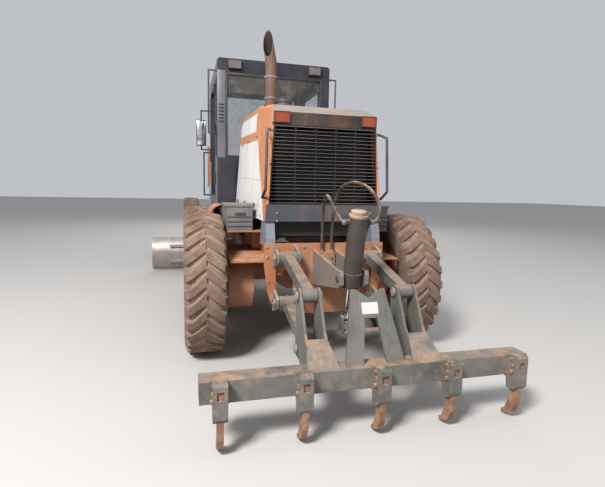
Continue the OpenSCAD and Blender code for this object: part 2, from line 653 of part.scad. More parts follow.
king_x = 800;
lean_x = king_x;
bar_y = [130, 155];
module at_axle() translate([0, axle_y, 0]) children();
module front_axle() color("#b5602f") at_axle() {
    cross_plate(-80, 80) polygon([[-640, lean_z - 40], [-640, lean_z + 45], [-580, 550], [-350, 690],
        [-110, 720], [110, 720], [350, 690], [580, 550], [640, lean_z + 45],
        [640, lean_z - 40], [560, lean_z - 30], [330, 500], [-330, 500], [-560, lean_z - 30]]);
    both() {
        for (y = [-80, 60]) {
            block(630, lean_x, y, y + 20, lean_z - 40, lean_z + 40);
            ycyl(40, y, y + 20, lean_x, lean_z);
        }
        ycyl(25, -92, 92, lean_x, lean_z);
    }
    // Pivot housing in the middle
    ycyl(85, -110, 110, 0, 610);
}
spine_in = 684;
spine_out = 726;
spine_depth = 40;
shelf_depth = 45;
module lean_bracket(side) color("#7c4a30") mirror([side < 0 ? 1 : 0, 0, 0]) at_axle() {
    difference() {
        union() {
            block(spine_in, spine_out, -spine_depth, spine_depth, lean_z + 40, 945);
            // Lower shelf with the lean pivot, and the upper shelf
            cross_plate(-shelf_depth, shelf_depth) polygon([[spine_in, lean_z + 30], [spine_in, 490],
                [840, 490], [840, 455], [830, lean_z], [770, lean_z - 30]]);
            ycyl(46, -55, 55, lean_x, lean_z);
            block(spine_in, 840, -shelf_depth, shelf_depth, 885, 945);
        }
        ycyl(25 + pin_gap, -60, 60, lean_x, lean_z);
    }
    zcyl(25, 470, 900, king_x, 0);
    ycyl(18, 30, bar_y[1] + 8, lean_x, lean_z + lean_h);
}
module lean_bar() color("#3a3634") at_axle() difference() {
    union() {
        block(-lean_x, lean_x, bar_y[0], bar_y[1], lean_z + lean_h - 26, lean_z + lean_h + 26);
        both() ycyl(36, bar_y[0], bar_y[1], lean_x, lean_z + lean_h);
    }
    both() ycyl(18 + pin_gap, 100, 200, lean_x, lean_z + lean_h);
}
arm_len = 240;
arm_z = [530, 558];
ball_z = 600;
ball_r = 22;
stem_r = 9;
module knuckle(side) color("#6d4b3f") mirror([side < 0 ? 1 : 0, 0, 0]) at_axle() {
    difference() {
        union() {
            zcyl(55, 495, 880, king_x, 0);
            xcyl(54, king_x, 875, 0, axle_z);
            translate([king_x - 25, -arm_len, arm_z[0]]) cube([50, arm_len, arm_z[1] - arm_z[0]]);
            zcyl(30, arm_z[0], arm_z[1], king_x, -arm_len);
        }
        zcyl(25 + pin_gap, 480, 900, king_x, 0);
        if (side < 0) zcyl(stem_r + pin_gap, 500, 600, king_x, -arm_len);
    }
    difference() {
        xcyl(shaft_r, king_x + 40, 880 + shaft_len - 2, 0, axle_z);
        zcyl(54, 480, 900, king_x, 0);
    }
    if (side > 0) ball_stud(king_x, arm_z[1] - 4);
}
module ball_stud(x, z0) {
    zcyl(stem_r, z0, ball_z, x, -arm_len);
    translate([x, -arm_len, ball_z]) sphere(r = ball_r);
}
module tie_rod_stud() color("#8d8f90") at_axle() {
    ball_stud(-king_x, arm_z[0] - 12);
    zcyl(18, arm_z[0] - 20, arm_z[0] - fit, -king_x, -arm_len);
}
module tie_rod() color("#3a3634") at_axle() {
    both() difference() {
        union() {
            zcyl(36, ball_z - 18, ball_z + 24, king_x, -arm_len);
            xcyl(20, 0, king_x - 20, -arm_len, ball_z);
        }
        translate([king_x, -arm_len, ball_z]) sphere(r = ball_r + pin_gap);
        translate([king_x, -arm_len, ball_z - 20]) cylinder(h = 16, r1 = 24, r2 = 13);
    }
}

ring_z = [715, 795];
shoe_a = [50, 130, 230, 310];
module drawbar() color("#b5602f") difference() {
    union() {
        translate([0, 0, ring_z[1] + fit]) linear_extrude(110) difference() {
            union() {
                polygon([[-54, 5700], [-560, 3850], [-580, 3500], [-420, 3150], [420, 3150],
                    [580, 3500], [560, 3850], [54, 5700]]);
                translate([0, circle_y]) circle(r = 700);
            }
            polygon([[-40, 5300], [-330, 4520], [330, 4520], [40, 5300]]);
            translate([0, circle_y]) circle(r = 500);
        }
        xcyl(60, -62, 62, draw_pin[0], draw_pin[1]);
        block(-62, 62, 5560, 5700, 760, 860);
        // Cross tube that carries the circle drive
        block(-560, 560, circle_y - 60, circle_y + 60, ring_z[1] + fit, ring_z[1] + 100);
        zcyl(130, ring_z[1] + 60, ring_z[1] + 240, 0, circle_y);
        both() block(560, lift_x - 30, lift_eye[0] - 60, lift_eye[0] + 60, ring_z[1] + fit, ring_z[1] + 108);
        for (a = shoe_a) translate([0, circle_y, 0]) rotate([0, 0, a]) {
            block(circle_r + 4, 745, -60, 60, 690, ring_z[1] + 40);
            block(650, 745, -60, 60, 690, ring_z[0] - fit);
        }
    }
    xcyl(30 + pin_gap, -200, 200, draw_pin[0], draw_pin[1]);
}
lift_r = 55;
lift_rod_r = 30;
module lift_barrels() color("#8a5a3c") both() {
    difference() {
        zcyl(lift_r, lift_top_z - 120, lift_top_z + 650, lift_x, lift_y);
        zcyl(lift_rod_r + pin_gap, lift_top_z - 130, lift_top_z + 635, lift_x, lift_y);
    }
    xcyl(25, lift_x - 110, lift_x - lift_r + 6, lift_y, lift_top_z);
}
module lift_rods() color("#b9bcbd") both() {
    difference() {
        union() {
            translate([0, lift_eye[0], 0]) zcyl(lift_rod_r, lift_eye[1], lift_eye[1] + 1100, lift_x, 0);
            xcyl(42, lift_x - 24, lift_x + 24, lift_eye[0], lift_eye[1]);
        }
        xcyl(22, lift_x - 30, lift_x + 30, lift_eye[0], lift_eye[1]);
    }
}

arm_x = [400, 480];
blade_cy = circle_y + 272;
blade_cz = 340;
edge_z = 30;
slide_z = [210, 500];
shift_z = 360;
shift_y = circle_y - 285;
shift_r = 20;
// The ring has teeth on its inside for the drive
teeth = 60;
tooth_h = 22;
ring_in = circle_r - 150;
module turntable_ring() translate([0, circle_y, ring_z[0]])
    linear_extrude(ring_z[1] - ring_z[0]) difference() {
        circle(r = circle_r, $fn = 96);
        polygon([for (i = [0:teeth - 1], p = [[-0.3, 0], [-0.15, 1], [0.15, 1], [0.3, 0]])
            let (a = (i + p[0]) * 360 / teeth) (ring_in + p[1] * tooth_h) * [cos(a), sin(a)]]);
    }
module turntable() color("#8a4f2e") {
    turntable_ring();
    both() difference() {
        union() {
            side_plate(arm_x[0], arm_x[1]) polygon([[circle_y - 400, 745], [circle_y - 120, 745],
                [circle_y - 225, 560], [circle_y - 225, 180], [circle_y - 330, 180], [circle_y - 380, 400]]);
            for (z = slide_z)
                block(arm_x[0] - 30, arm_x[1] + 30, circle_y - 260, circle_y - 170, z - 45, z + 45);
        }
        for (z = slide_z) block(200, 700, circle_y - 200.4, circle_y - 120, z - 20.4, z + 20.4);
        xcyl(38, 300, 600, shift_y, shift_z);
    }
    difference() {
        xcyl(42, -600, 600, shift_y, shift_z);
        xcyl(shift_r + pin_gap, -580, 610, shift_y, shift_z);
    }
}
module blade() color("#9a9690") {
    // Curved moldboard, hollow side forward
    intersection() {
        difference() {
            xcyl(blade_r + blade_t, -blade_len / 2, blade_len / 2, blade_cy, blade_cz);
            xcyl(blade_r, -blade_len, blade_len, blade_cy, blade_cz);
        }
        block(-2000, 2000, blade_cy - 600, blade_cy - 270, 75, 650);
    }
    // Cutting edge
    side_plate(-blade_len / 2, blade_len / 2) polygon([[blade_cy - 372, 140], [blade_cy - 356, 146],
        [blade_cy - 268, edge_z], [blade_cy - 296, edge_z]]);
    // Slide rails on the back
    for (z = slide_z) block(-1500, 1500, circle_y - 200, circle_y - 130, z - 20, z + 20);
    // Rod of the side shift cylinder and its lug
    xcyl(shift_r, 0, 1360, shift_y, shift_z);
    block(1330, 1370, shift_y - 30, circle_y - 160, shift_z - 40, shift_z + 40);
}

link_a = atan2(link_run[1], link_run[0]);
link_len = norm(link_run);
module link(x, dz) difference() {
    union() {
        xcyl(55, x - hub_half, x + hub_half, frame_pin[0], frame_pin[1] + dz);
        xcyl(50, x - tool_hub_half, x + tool_hub_half, tool_pin[0], tool_pin[1] + dz);
        translate([x, frame_pin[0], frame_pin[1] + dz]) rotate([link_a, 0, 0])
            block(-40, 40, 0, link_len, -42, 42);
    }
    xcyl(link_pin_r + pin_gap, 0, 600, frame_pin[0], frame_pin[1] + dz);
    xcyl(link_pin_r + pin_gap, 0, 600, tool_pin[0], tool_pin[1] + dz);
}
cross_t = (rod_eye[0] - frame_pin[0]) / link_run[0];
cross_z = frame_pin[1] - link_drop + cross_t * link_run[1];
module ripper_upper_links() color("#77807e") both() link(link_x, 0);
module ripper_lower_links() color("#77807e") {
    both() link(link_x, -link_drop);
    xcyl(40, -link_x, link_x, rod_eye[0], cross_z - 36);
    for (x = [cyl_x - 56, cyl_x + 36]) {
        block(x, x + 20, rod_eye[0] - 38, rod_eye[0] + 38, cross_z - 36, rod_eye[1]);
        xcyl(38, x, x + 20, rod_eye[0], rod_eye[1]);
    }
}
mast_lean = 21.7;
mast_h = 514;
module mast() translate([0, tool_y + 50, tool_z + tool_h - 4]) rotate([-mast_lean, 0, 0]) {
    cross_plate(0, 25) difference() {
        polygon([[-215, 0], [-125, mast_h], [-100, mast_h], [0, mast_h - 65], [100, mast_h],
            [125, mast_h], [215, 0]]);
        polygon([[-85, -1], [-48, 310], [48, 310], [85, -1]]);
    }
}
module tower() {
    for (x = [link_x - tool_hub_half - run_gap - ear_t, link_x + tool_hub_half + run_gap]) {
        side_plate(x, x + ear_t) polygon([[-2600, 460], [-2512, 330], [-2270, 412], [-2186, 450],
            [-2186, 870], [-2235, 914], [-2290, 880], [-2420, 640], [-2560, 500]]);
        for (dz = [0, -link_drop]) xcyl(58, x, x + ear_t, tool_pin[0], tool_pin[1] + dz);
    }
    for (dz = [0, -link_drop]) xcyl(link_pin_r, link_x - tool_hub_half - run_gap - ear_t - 6,
        link_x + tool_hub_half + run_gap + ear_t + 6, tool_pin[0], tool_pin[1] + dz);
    // Sloped cover plate between the ears and the beam
    translate([link_x, tool_y + 20, tool_z + tool_h - 6]) rotate([-49, 0, 0])
        cross_plate(0, 14) polygon([[-115, 0], [-72, 235], [72, 235], [115, 0]]);
}
module holder() {
    back = tool_y - holder_back;
    difference() {
        union() {
            side_plate(-44, 44) polygon([[tool_y + 4, 475], [back + 12, 490], [back, 470], [back, 270],
                [back + 25, 240], [tool_y - 8, 232], [tool_y + 4, 300]]);
            block(-44, 44, tool_y - 6, tool_y + tool_depth + 14, tool_z - 14, tool_z + 2);
            block(-44, 44, tool_y + tool_depth - 2, tool_y + tool_depth + 14, tool_z - 14, tool_z + 100);
        }
        block(-shank_t / 2 - pin_gap, shank_t / 2 + pin_gap, back + 14, back + 15 + shank_d, 200, 600);
        // Windows that show the shank and its wedge
        block(-shank_t / 2 - pin_gap, shank_t / 2 + pin_gap, back - 10, back + 20, 385, 440);
        block(-60, 60, back + 30, back + 66, 395, 430);
    }
}
module ripper_beam() color("#77807e") {
    block(-tool_beam_len / 2, tool_beam_len / 2, tool_y, tool_y + tool_depth, tool_z, tool_z + tool_h);
    both() tower();
    mast();
    both() side_plate(95, 112) polygon([[tool_y + 55, 462], [tool_y + 145, 462], [tool_y + 232, 880],
        [tool_y + 215, 890]]);
    for (i = [-2:2]) translate([i * shank_gap, 0, 0]) holder();
}
module ripper_shanks() color("#7a4a38") for (i = [-2:2]) translate([i * shank_gap, 0, 0])
    side_plate(-shank_t / 2, shank_t / 2) polygon([
        [tool_y - holder_back + 14 + fit, 478], [tool_y - holder_back + 14 + fit, 215],
        [tool_y - 78, 130], [tool_y - 45, 60], [tool_y + 10, tip_z + 12], [tool_y + 55, tip_z],
        [tool_y + 60, tip_z + 22], [tool_y + 25, 62], [tool_y + 2, 120],
        [tool_y - holder_back + 14 + fit + shank_d, 200], [tool_y - holder_back + 14 + fit + shank_d, 478]]);

barrel_r = 75;
ripper_rod_r = 30;
cyl_dir = rod_eye - trunnion;
cyl_a = atan2(cyl_dir[0], -cyl_dir[1]);
rod_len = 640;
barrel_up = 500;
barrel_down = 68;
// Local frame of the ripper cylinder: origin at the trunnion, -z toward the rod's eye
module at_trunnion() translate([cyl_x, trunnion[0], trunnion[1]]) rotate([cyl_a, 0, 0]) children();
module ripper_barrel() color("#4a4c4d") at_trunnion() {
    difference() {
        union() {
            zcyl(barrel_r - 5, -barrel_down, barrel_up, 0, 0);
            zcyl(barrel_r, -50, 50, 0, 0);
            zcyl(barrel_r - 18, barrel_up - 4, barrel_up + 28, 0, 0);
            xcyl(trunnion_r, -barrel_r - 48, barrel_r + 48, 0, 0);
            xcyl(22, -96, 96, 0, barrel_up - 55);
        }
        zcyl(ripper_rod_r + pin_gap, -100, barrel_up - 20, 0, 0);
    }
}
module ripper_rod() color("#b9bcbd") at_trunnion() {
    reach = norm(cyl_dir);
    difference() {
        union() {
            zcyl(ripper_rod_r, -reach, rod_len - reach, 0, 0);
            xcyl(38, -30, 30, 0, -reach);
        }
        xcyl(22, -40, 40, 0, -reach);
    }
}

module place() translate([0, tandem_y, 0]) children();
place() rear_frame();
place() rear_axle();
place() hood();
place() side_panels();
place() grille();
place() tail_lamps();
place() work_lamps();
place() engine_block();
place() exhaust();
place() pre_cleaner();
place() battery_boxes();
place() tanks();
place() platforms();
place() cab();
place() cab_glass();
place() seat();
place() console();
place() hand_rails();
place() mirrors();
place() hose(hose_routes[0]);  // ripper_hose_left
place() hose(hose_routes[1]);  // ripper_hose_right
place() door(-1);  // door_left
place() door(1);  // door_right
place() door_glass(-1);  // door_glass_left
place() door_glass(1);  // door_glass_right
place() tyre(-1, -axle_half);  // tyre_left_back
place() tyre(-1, axle_half);  // tyre_left_mid
place() tyre(1, -axle_half);  // tyre_right_back
place() tyre(1, axle_half);  // tyre_right_mid
place() rim(-1, -axle_half, rear_hub_u);  // rim_left_back
place() rim(-1, axle_half, rear_hub_u);  // rim_left_mid
place() rim(1, -axle_half, rear_hub_u);  // rim_right_back
place() rim(1, axle_half, rear_hub_u);  // rim_right_mid
place() front_frame();
place() head_lamps();
place() front_axle();
place() lean_bracket(-1);  // lean_bracket_left
place() lean_bracket(1);  // lean_bracket_right
place() lean_bar();
place() knuckle(-1);  // knuckle_left
place() knuckle(1);  // knuckle_right
place() tie_rod_stud();
place() tie_rod();
place() tyre(-1, wheel_base);  // tyre_left_front
place() tyre(1, wheel_base);  // tyre_right_front
place() rim(-1, wheel_base, front_hub_u);  // rim_left_front
place() rim(1, wheel_base, front_hub_u);  // rim_right_front
place() drawbar();
place() lift_barrels();
place() lift_rods();
place() turntable();
place() blade();
place() ripper_lower_links();
place() ripper_upper_links();
place() ripper_beam();
place() ripper_shanks();
place() ripper_barrel();
place() ripper_rod();
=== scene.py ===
"""Looks of a motor grader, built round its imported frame.

Metres, +X to the machine's right, +Y forward, +Z up. The frame's nodes keep their shapes and get
worn, dusty finishes. Tyres, seat and hoses are made anew, and bolts, welds, seals, lips and other
fine pieces are added. Points are given from the middle of the tandem, through at().
"""

import json
import math

import bmesh
import bpy
from mathutils import Matrix, Vector


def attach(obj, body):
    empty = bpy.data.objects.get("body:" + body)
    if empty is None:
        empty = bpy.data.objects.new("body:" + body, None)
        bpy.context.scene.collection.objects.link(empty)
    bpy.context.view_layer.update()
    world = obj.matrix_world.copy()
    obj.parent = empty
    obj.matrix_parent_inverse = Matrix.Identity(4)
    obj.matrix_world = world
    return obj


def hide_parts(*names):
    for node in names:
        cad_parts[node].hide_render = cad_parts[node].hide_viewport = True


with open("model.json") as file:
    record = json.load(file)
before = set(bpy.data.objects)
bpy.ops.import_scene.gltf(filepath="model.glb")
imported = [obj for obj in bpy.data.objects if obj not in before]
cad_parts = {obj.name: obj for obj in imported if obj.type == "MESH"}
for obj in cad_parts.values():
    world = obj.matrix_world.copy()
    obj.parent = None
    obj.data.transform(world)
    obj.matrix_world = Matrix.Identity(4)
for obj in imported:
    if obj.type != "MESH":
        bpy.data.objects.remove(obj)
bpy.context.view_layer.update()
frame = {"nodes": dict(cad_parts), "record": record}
nodes = frame["nodes"]
scene = bpy.context.scene

# Middle of the tandem in the frame's own y
TANDEM_Y = -2.0715
AXLE_Z = 0.684
WHEEL_X = 1.053
WHEEL_BASE = 6.219
TANDEM_HALF = 0.786
SIDES = {"left": -1, "right": 1}
HOOD_HALF, HOOD_LOW, HOOD_LEAN = 0.55, 1.33, 0.075
GRILLE_HALF, GRILLE_LOW, GRILLE_LEAN = 0.515, 1.48, 0.062
STACK_X, STACK_Y = -0.392, -0.79
# Back face of the rear plate and outer face of the tandem cases
PLATE_Y = -1.4495
CASE_X = 0.83
# Parallel links of the ripper: their x, the y of their pins at both ends
LINK_X, LINK_FRONT, LINK_BACK = 0.375, -1.56, -2.24
TRUNNION = (0, -2.110, 0.950)
ROD_EYE = (0, -2.040, 0.606)
PORT_X, PORT_Y, PORT_Z = 0.098, -2.199, 1.386
BACKWARD, RIGHTWARD = (0, -1, 0), (1, 0, 0)


def at(x, y, z):
    """A point given from the middle of the tandem."""
    return Vector((x, y + TANDEM_Y, z))


def around(radius, angle, height):
    """A point given by its radius, angle and height."""
    return (radius * math.cos(angle), radius * math.sin(angle), height)


def turns(count):
    """Angles that share out a full turn."""
    return [2 * math.pi * i / count for i in range(count)]


def hood_x(z):
    """Half the width of the hood at a height."""
    return HOOD_HALF - (z - HOOD_LOW) * HOOD_LEAN


# Camera

PHOTO_WIDTH = 605
FOCAL_PX = 443.3
CAMERA_AT = at(-1.2308, -5.2307, 1.6125)
CAMERA_YAW = 0.26195
CAMERA_PITCH = -0.12033
CAMERA_ROLL = 0.0194


def add_camera():
    data = bpy.data.cameras.new("camera")
    cam = bpy.data.objects.new("camera", data)
    scene.collection.objects.link(cam)
    level = Vector((math.sin(CAMERA_YAW), math.cos(CAMERA_YAW), 0))
    right = Vector((math.cos(CAMERA_YAW), -math.sin(CAMERA_YAW), 0))
    up = Vector((0, 0, 1))
    forward = math.cos(CAMERA_PITCH) * level + math.sin(CAMERA_PITCH) * up
    tilted = math.cos(CAMERA_PITCH) * up - math.sin(CAMERA_PITCH) * level
    cam_x = math.cos(CAMERA_ROLL) * right + math.sin(CAMERA_ROLL) * tilted
    cam_y = math.cos(CAMERA_ROLL) * tilted - math.sin(CAMERA_ROLL) * right
    turn = Matrix((cam_x, cam_y, -forward)).transposed()
    cam.matrix_world = Matrix.Translation(CAMERA_AT) @ turn.to_4x4()
    data.sensor_fit = "HORIZONTAL"
    data.sensor_width = 36
    data.lens = FOCAL_PX / PHOTO_WIDTH * data.sensor_width
    data.clip_start = 0.05
    data.clip_end = 200
    scene.camera = cam


add_camera()

# Materials


class Look:
    """A material whose nodes are made by short calls."""

    def __init__(self, name, rough=0.6, metal=0.0):
        self.mat = bpy.data.materials.new(name)
        self.mat.use_nodes = True
        self.tree = self.mat.node_tree
        self.tree.nodes.clear()
        out = self.tree.nodes.new("ShaderNodeOutputMaterial")
        self.bsdf = self.tree.nodes.new("ShaderNodeBsdfPrincipled")
        self.tree.links.new(self.bsdf.outputs[0], out.inputs["Surface"])
        self.bsdf.inputs["Roughness"].default_value = rough
        self.bsdf.inputs["Metallic"].default_value = metal
        self.coords = self.make("ShaderNodeTexCoord").outputs["Object"]

    def make(self, kind, **settings):
        made = self.tree.nodes.new(kind)
        for key, value in settings.items():
            setattr(made, key, value)
        return made

    def feed(self, socket, value):
        """A socket takes a link from another, or a plain value."""
        if isinstance(value, bpy.types.NodeSocket):
            self.tree.links.new(value, socket)
        elif isinstance(value, tuple) and len(value) == 3 and socket.type == "RGBA":
            socket.default_value = (*value, 1)
        else:
            socket.default_value = value

    def noise(self, scale, detail=4, rough=0.55, stretch=None, warp=0.0):
        tex = self.make("ShaderNodeTexNoise")
        coords = self.coords
        if stretch:
            mapping = self.make("ShaderNodeMapping")
            self.feed(mapping.inputs["Vector"], coords)
            self.feed(mapping.inputs["Scale"], stretch)
            coords = mapping.outputs[0]
        self.feed(tex.inputs["Vector"], coords)
        self.feed(tex.inputs["Scale"], scale)
        self.feed(tex.inputs["Detail"], detail)
        self.feed(tex.inputs["Roughness"], rough)
        self.feed(tex.inputs["Distortion"], warp)
        return tex.outputs["Fac"]

    def math(self, kind, a, b=0.0, clamp=False):
        made = self.make("ShaderNodeMath", operation=kind, use_clamp=clamp)
        self.feed(made.inputs[0], a)
        self.feed(made.inputs[1], b)
        return made.outputs[0]

    def times(self, a, b, clamp=False):
        return self.math("MULTIPLY", a, b, clamp)

    def plus(self, a, b, clamp=False):
        return self.math("ADD", a, b, clamp)

    def most(self, a, b):
        return self.math("MAXIMUM", a, b)

    def size(self, value):
        return self.math("ABSOLUTE", value)

    def rest_of(self, value, clamp=False):
        """What value lacks of 1."""
        return self.math("SUBTRACT", 1.0, value, clamp)

    def ramp(self, value, low, high, to_low=0.0, to_high=1.0):
        made = self.make("ShaderNodeMapRange", interpolation_type="SMOOTHSTEP")
        for socket, number in zip(made.inputs, (value, low, high, to_low, to_high)):
            self.feed(socket, number)
        return made.outputs[0]

    def mix(self, share, a, b):
        made = self.make("ShaderNodeMix", data_type="RGBA")
        self.feed(made.inputs["Factor"], share)
        self.feed(made.inputs[6], a)
        self.feed(made.inputs[7], b)
        return made.outputs[2]

    def facing(self, axis):
        """One part of the surface's direction."""
        geometry = self.make("ShaderNodeNewGeometry")
        split = self.make("ShaderNodeSeparateXYZ")
        self.feed(split.inputs[0], geometry.outputs["Normal"])
        return split.outputs[axis]

    def place(self, axis):
        """One part of the place on the machine."""
        split = self.make("ShaderNodeSeparateXYZ")
        self.feed(split.inputs[0], self.coords)
        return split.outputs[axis]

    def edges(self, radius):
        """1 on edges, 0 on open faces."""
        bevel = self.make("ShaderNodeBevel", samples=4)
        self.feed(bevel.inputs["Radius"], radius)
        geometry = self.make("ShaderNodeNewGeometry")
        dot = self.make("ShaderNodeVectorMath", operation="DOT_PRODUCT")
        self.feed(dot.inputs[0], bevel.outputs[0])
        self.feed(dot.inputs[1], geometry.outputs["Normal"])
        return self.ramp(dot.outputs["Value"], 0.97, 0.80)

    def corners(self, reach):
        """1 in inner corners, 0 in the open."""
        ao = self.make("ShaderNodeAmbientOcclusion", samples=4, only_local=True)
        self.feed(ao.inputs["Distance"], reach)
        return self.ramp(ao.outputs["AO"], 0.9, 0.35)

    def bump(self, height, strength, distance, radius=0.0):
        made = self.make("ShaderNodeBump")
        self.feed(made.inputs["Height"], height)
        self.feed(made.inputs["Strength"], strength)
        self.feed(made.inputs["Distance"], distance)
        if radius:
            rounded = self.make("ShaderNodeBevel", samples=4)
            self.feed(rounded.inputs["Radius"], radius)
            self.feed(made.inputs["Normal"], rounded.outputs[0])
        self.feed(self.bsdf.inputs["Normal"], made.outputs[0])

    def set(self, name, value):
        self.feed(self.bsdf.inputs[name], value)


DUST = (0.42, 0.27, 0.175)
RUST = (0.22, 0.085, 0.035)
DARK_RUST = (0.085, 0.038, 0.022)


def worn_metal(name, base, faded, dust=0.5, rust=0.3, rough=0.5, metal=0.0, chips=0.5, mud_top=1.1,
               dust_tone=DUST, soft_edge=0.004, paint=None):
    """Paint or steel with fading, dust on what faces up, mud low down, chips and rust on edges."""
    look = Look(name, rough, metal)
    large = look.noise(1.7, 5, 0.6)
    fine = look.noise(38, 6, 0.65)
    patch = look.noise(7, 6, 0.62, warp=0.4)
    streak = look.noise(9, 4, 0.6, stretch=(1, 1, 0.12))
    colour = look.mix(look.ramp(large, 0.35, 0.68), base, faded)
    if paint:
        colour = paint(look, colour)
    dirt = tuple(0.55 * c for c in base)
    colour = look.mix(look.times(look.ramp(streak, 0.5, 0.75), 0.45), colour, dirt)
    # Rust spreads from chipped edges and in patches
    chip = look.times(look.edges(0.007), look.ramp(fine, 0.62 - 0.25 * chips, 0.80 - 0.25 * chips))
    spots = look.ramp(patch, 0.80 - 0.32 * rust, 0.86 - 0.30 * rust)
    rusty = look.most(chip, look.times(spots, 0.85))
    rust_tone = look.mix(look.ramp(fine, 0.35, 0.7), DARK_RUST, RUST)
    colour = look.mix(rusty, colour, rust_tone)
    # Dust lies on upward faces, in corners and low on the machine
    up = look.ramp(look.facing("Z"), 0.35, 0.95)
    low = look.ramp(look.place("Z"), mud_top, 0.15)
    corner = look.corners(0.06)
    lying = look.times(look.plus(up, look.times(corner, 0.75)), look.ramp(patch, 0.30, 0.62))
    splash = look.times(low, look.ramp(look.noise(14, 7, 0.7), 0.42, 0.66))
    dusty = look.times(look.plus(lying, look.times(splash, 0.8)), dust, clamp=True)
    film = look.times(look.ramp(large, 0.3, 0.7), 0.28 * dust)
    dusty = look.most(dusty, film)
    dust_mix = look.mix(look.ramp(fine, 0.3, 0.7), dust_tone, tuple(1.3 * c for c in dust_tone))
    colour = look.mix(dusty, colour, dust_mix)
    look.set("Base Color", colour)
    covered = look.most(rusty, dusty)
    look.set("Roughness", look.plus(look.times(covered, 0.4), rough, clamp=True))
    if metal:
        look.set("Metallic", look.times(look.rest_of(covered, True), metal))
    height = look.plus(look.times(rusty, 0.6), look.times(fine, 0.35))
    look.bump(height, 0.25, 0.002, soft_edge)
    return look.mat


def tyre_rubber():
    """Brown, dusty tyre rubber with dried mud between the lugs."""
    look = Look("dusty_tyre", 0.93)
    patch = look.noise(9, 7, 0.65, warp=0.3)
    fine = look.noise(70, 5, 0.7)
    base = look.mix(look.ramp(patch, 0.35, 0.7), (0.085, 0.058, 0.046), (0.17, 0.115, 0.085))
    caked = look.times(look.corners(0.07), look.ramp(patch, 0.22, 0.5))
    worn = look.times(look.edges(0.012), 0.55)
    colour = look.mix(look.times(look.ramp(fine, 0.35, 0.65), 0.35), base, (0.27, 0.18, 0.13))
    colour = look.mix(worn, colour, (0.30, 0.21, 0.16))
    colour = look.mix(caked, colour, (0.36, 0.23, 0.155))
    look.set("Base Color", colour)
    look.bump(look.plus(look.times(patch, 0.6), look.times(fine, 0.5)), 0.5, 0.004)
    return look.mat


def plain_plastic(name, base, rough=0.55, dust=0.35):
    look = Look(name, rough)
    patch = look.noise(11, 6, 0.62)
    fine = look.noise(160, 3, 0.6)
    up = look.ramp(look.facing("Z"), 0.2, 0.95)
    amount = look.times(look.plus(up, 0.25), look.ramp(patch, 0.35, 0.7))
    look.set("Base Color", look.mix(look.times(amount, dust), base, DUST))
    look.set("Roughness", look.ramp(patch, 0.2, 0.8, rough - 0.1, min(1.0, rough + 0.2)))
    look.bump(fine, 0.15, 0.0006)
    return look.mat


def glass(name, tint, dust=0.25, alpha=0.32):
    look = Look(name, 0.06)
    grime = look.times(look.ramp(look.noise(5, 7, 0.7, warp=0.6), 0.45, 0.8), dust)
    look.set("Base Color", look.mix(grime, tint, (0.55, 0.47, 0.38)))
    look.set("Roughness", look.ramp(grime, 0.0, dust, 0.04, 0.45))
    look.set("Alpha", look.plus(look.times(grime, 1.2), alpha, clamp=True))
    look.set("IOR", 1.45)
    return look.mat


def lens(name, base, rough=0.18, ribs=90, dust=0.45):
    look = Look(name, rough)
    wave = look.make("ShaderNodeTexWave", bands_direction="X")
    look.feed(wave.inputs["Vector"], look.coords)
    look.feed(wave.inputs["Scale"], ribs)
    patch = look.noise(16, 5, 0.6)
    look.set("Base Color", look.mix(look.ramp(patch, 0.4, 0.8, 0.0, dust), base, DUST))
    look.set("Coat Weight", 0.5)
    look.bump(wave.outputs["Fac"], 0.4, 0.002)
    return look.mat


def chrome(name):
    look = Look(name, 0.16, 1.0)
    patch = look.noise(20, 5, 0.6)
    smear = look.ramp(patch, 0.5, 0.8)
    look.set("Base Color", look.mix(look.times(smear, 0.5), (0.72, 0.72, 0.73), (0.30, 0.22, 0.16)))
    look.set("Roughness", look.ramp(smear, 0, 1, 0.14, 0.5))
    return look.mat


def woven(name, base):
    look = Look(name, 0.9)
    weave = look.make("ShaderNodeTexChecker")
    look.feed(weave.inputs["Vector"], look.coords)
    look.feed(weave.inputs["Scale"], 260)
    patch = look.noise(14, 5, 0.6)
    tone = tuple(min(1, 1.9 * c) for c in base)
    look.set("Base Color", look.mix(look.ramp(patch, 0.3, 0.8, 0.0, 0.6), base, tone))
    look.set("Sheen Weight", 0.3)
    look.bump(weave.outputs["Fac"], 0.3, 0.0008)
    return look.mat


ORANGE = (0.33, 0.100, 0.034)
FADED_ORANGE = (0.37, 0.165, 0.08)
BAND_ORANGE = (0.50, 0.17, 0.055)
FADED_BAND = (0.55, 0.235, 0.10)
GUARD_ORANGE = (0.36, 0.13, 0.055)
WHITE = (0.66, 0.65, 0.62)
FADED_WHITE = (0.74, 0.73, 0.70)
NEAR_BLACK = (0.012, 0.011, 0.011)
STEEL_BLACK = (0.013, 0.012, 0.012)
FADED_BLACK = (0.032, 0.029, 0.028)
SOOT_BLACK = (0.004, 0.0035, 0.003)
LOW_PANEL_GREY = (0.045, 0.049, 0.064)
BONNET_GREY = (0.155, 0.145, 0.14)
GUSSET_GREY = (0.15, 0.17, 0.20)
LUG_GREY = (0.115, 0.120, 0.115)
# Dust and painted sheen on the cab's side faces
CAB_DUST_AND_SHEEN = (0.115, 0.118, 0.135)


def step(look, value, edge, soft=0.002):
    """1 where value is over edge."""
    return look.ramp(value, edge - soft, edge + soft)


def under(look, value, edge, soft=0.002):
    """1 where value is under edge."""
    return look.rest_of(step(look, value, edge, soft))


def between(look, value, low, high):
    return look.times(step(look, value, low), under(look, value, high))


def own_y(look):
    """Y from the middle of the tandem."""
    return look.math("SUBTRACT", look.place("Y"), TANDEM_Y)


def off_middle(look):
    """Distance to the side from the machine's middle."""
    return look.size(look.place("X"))


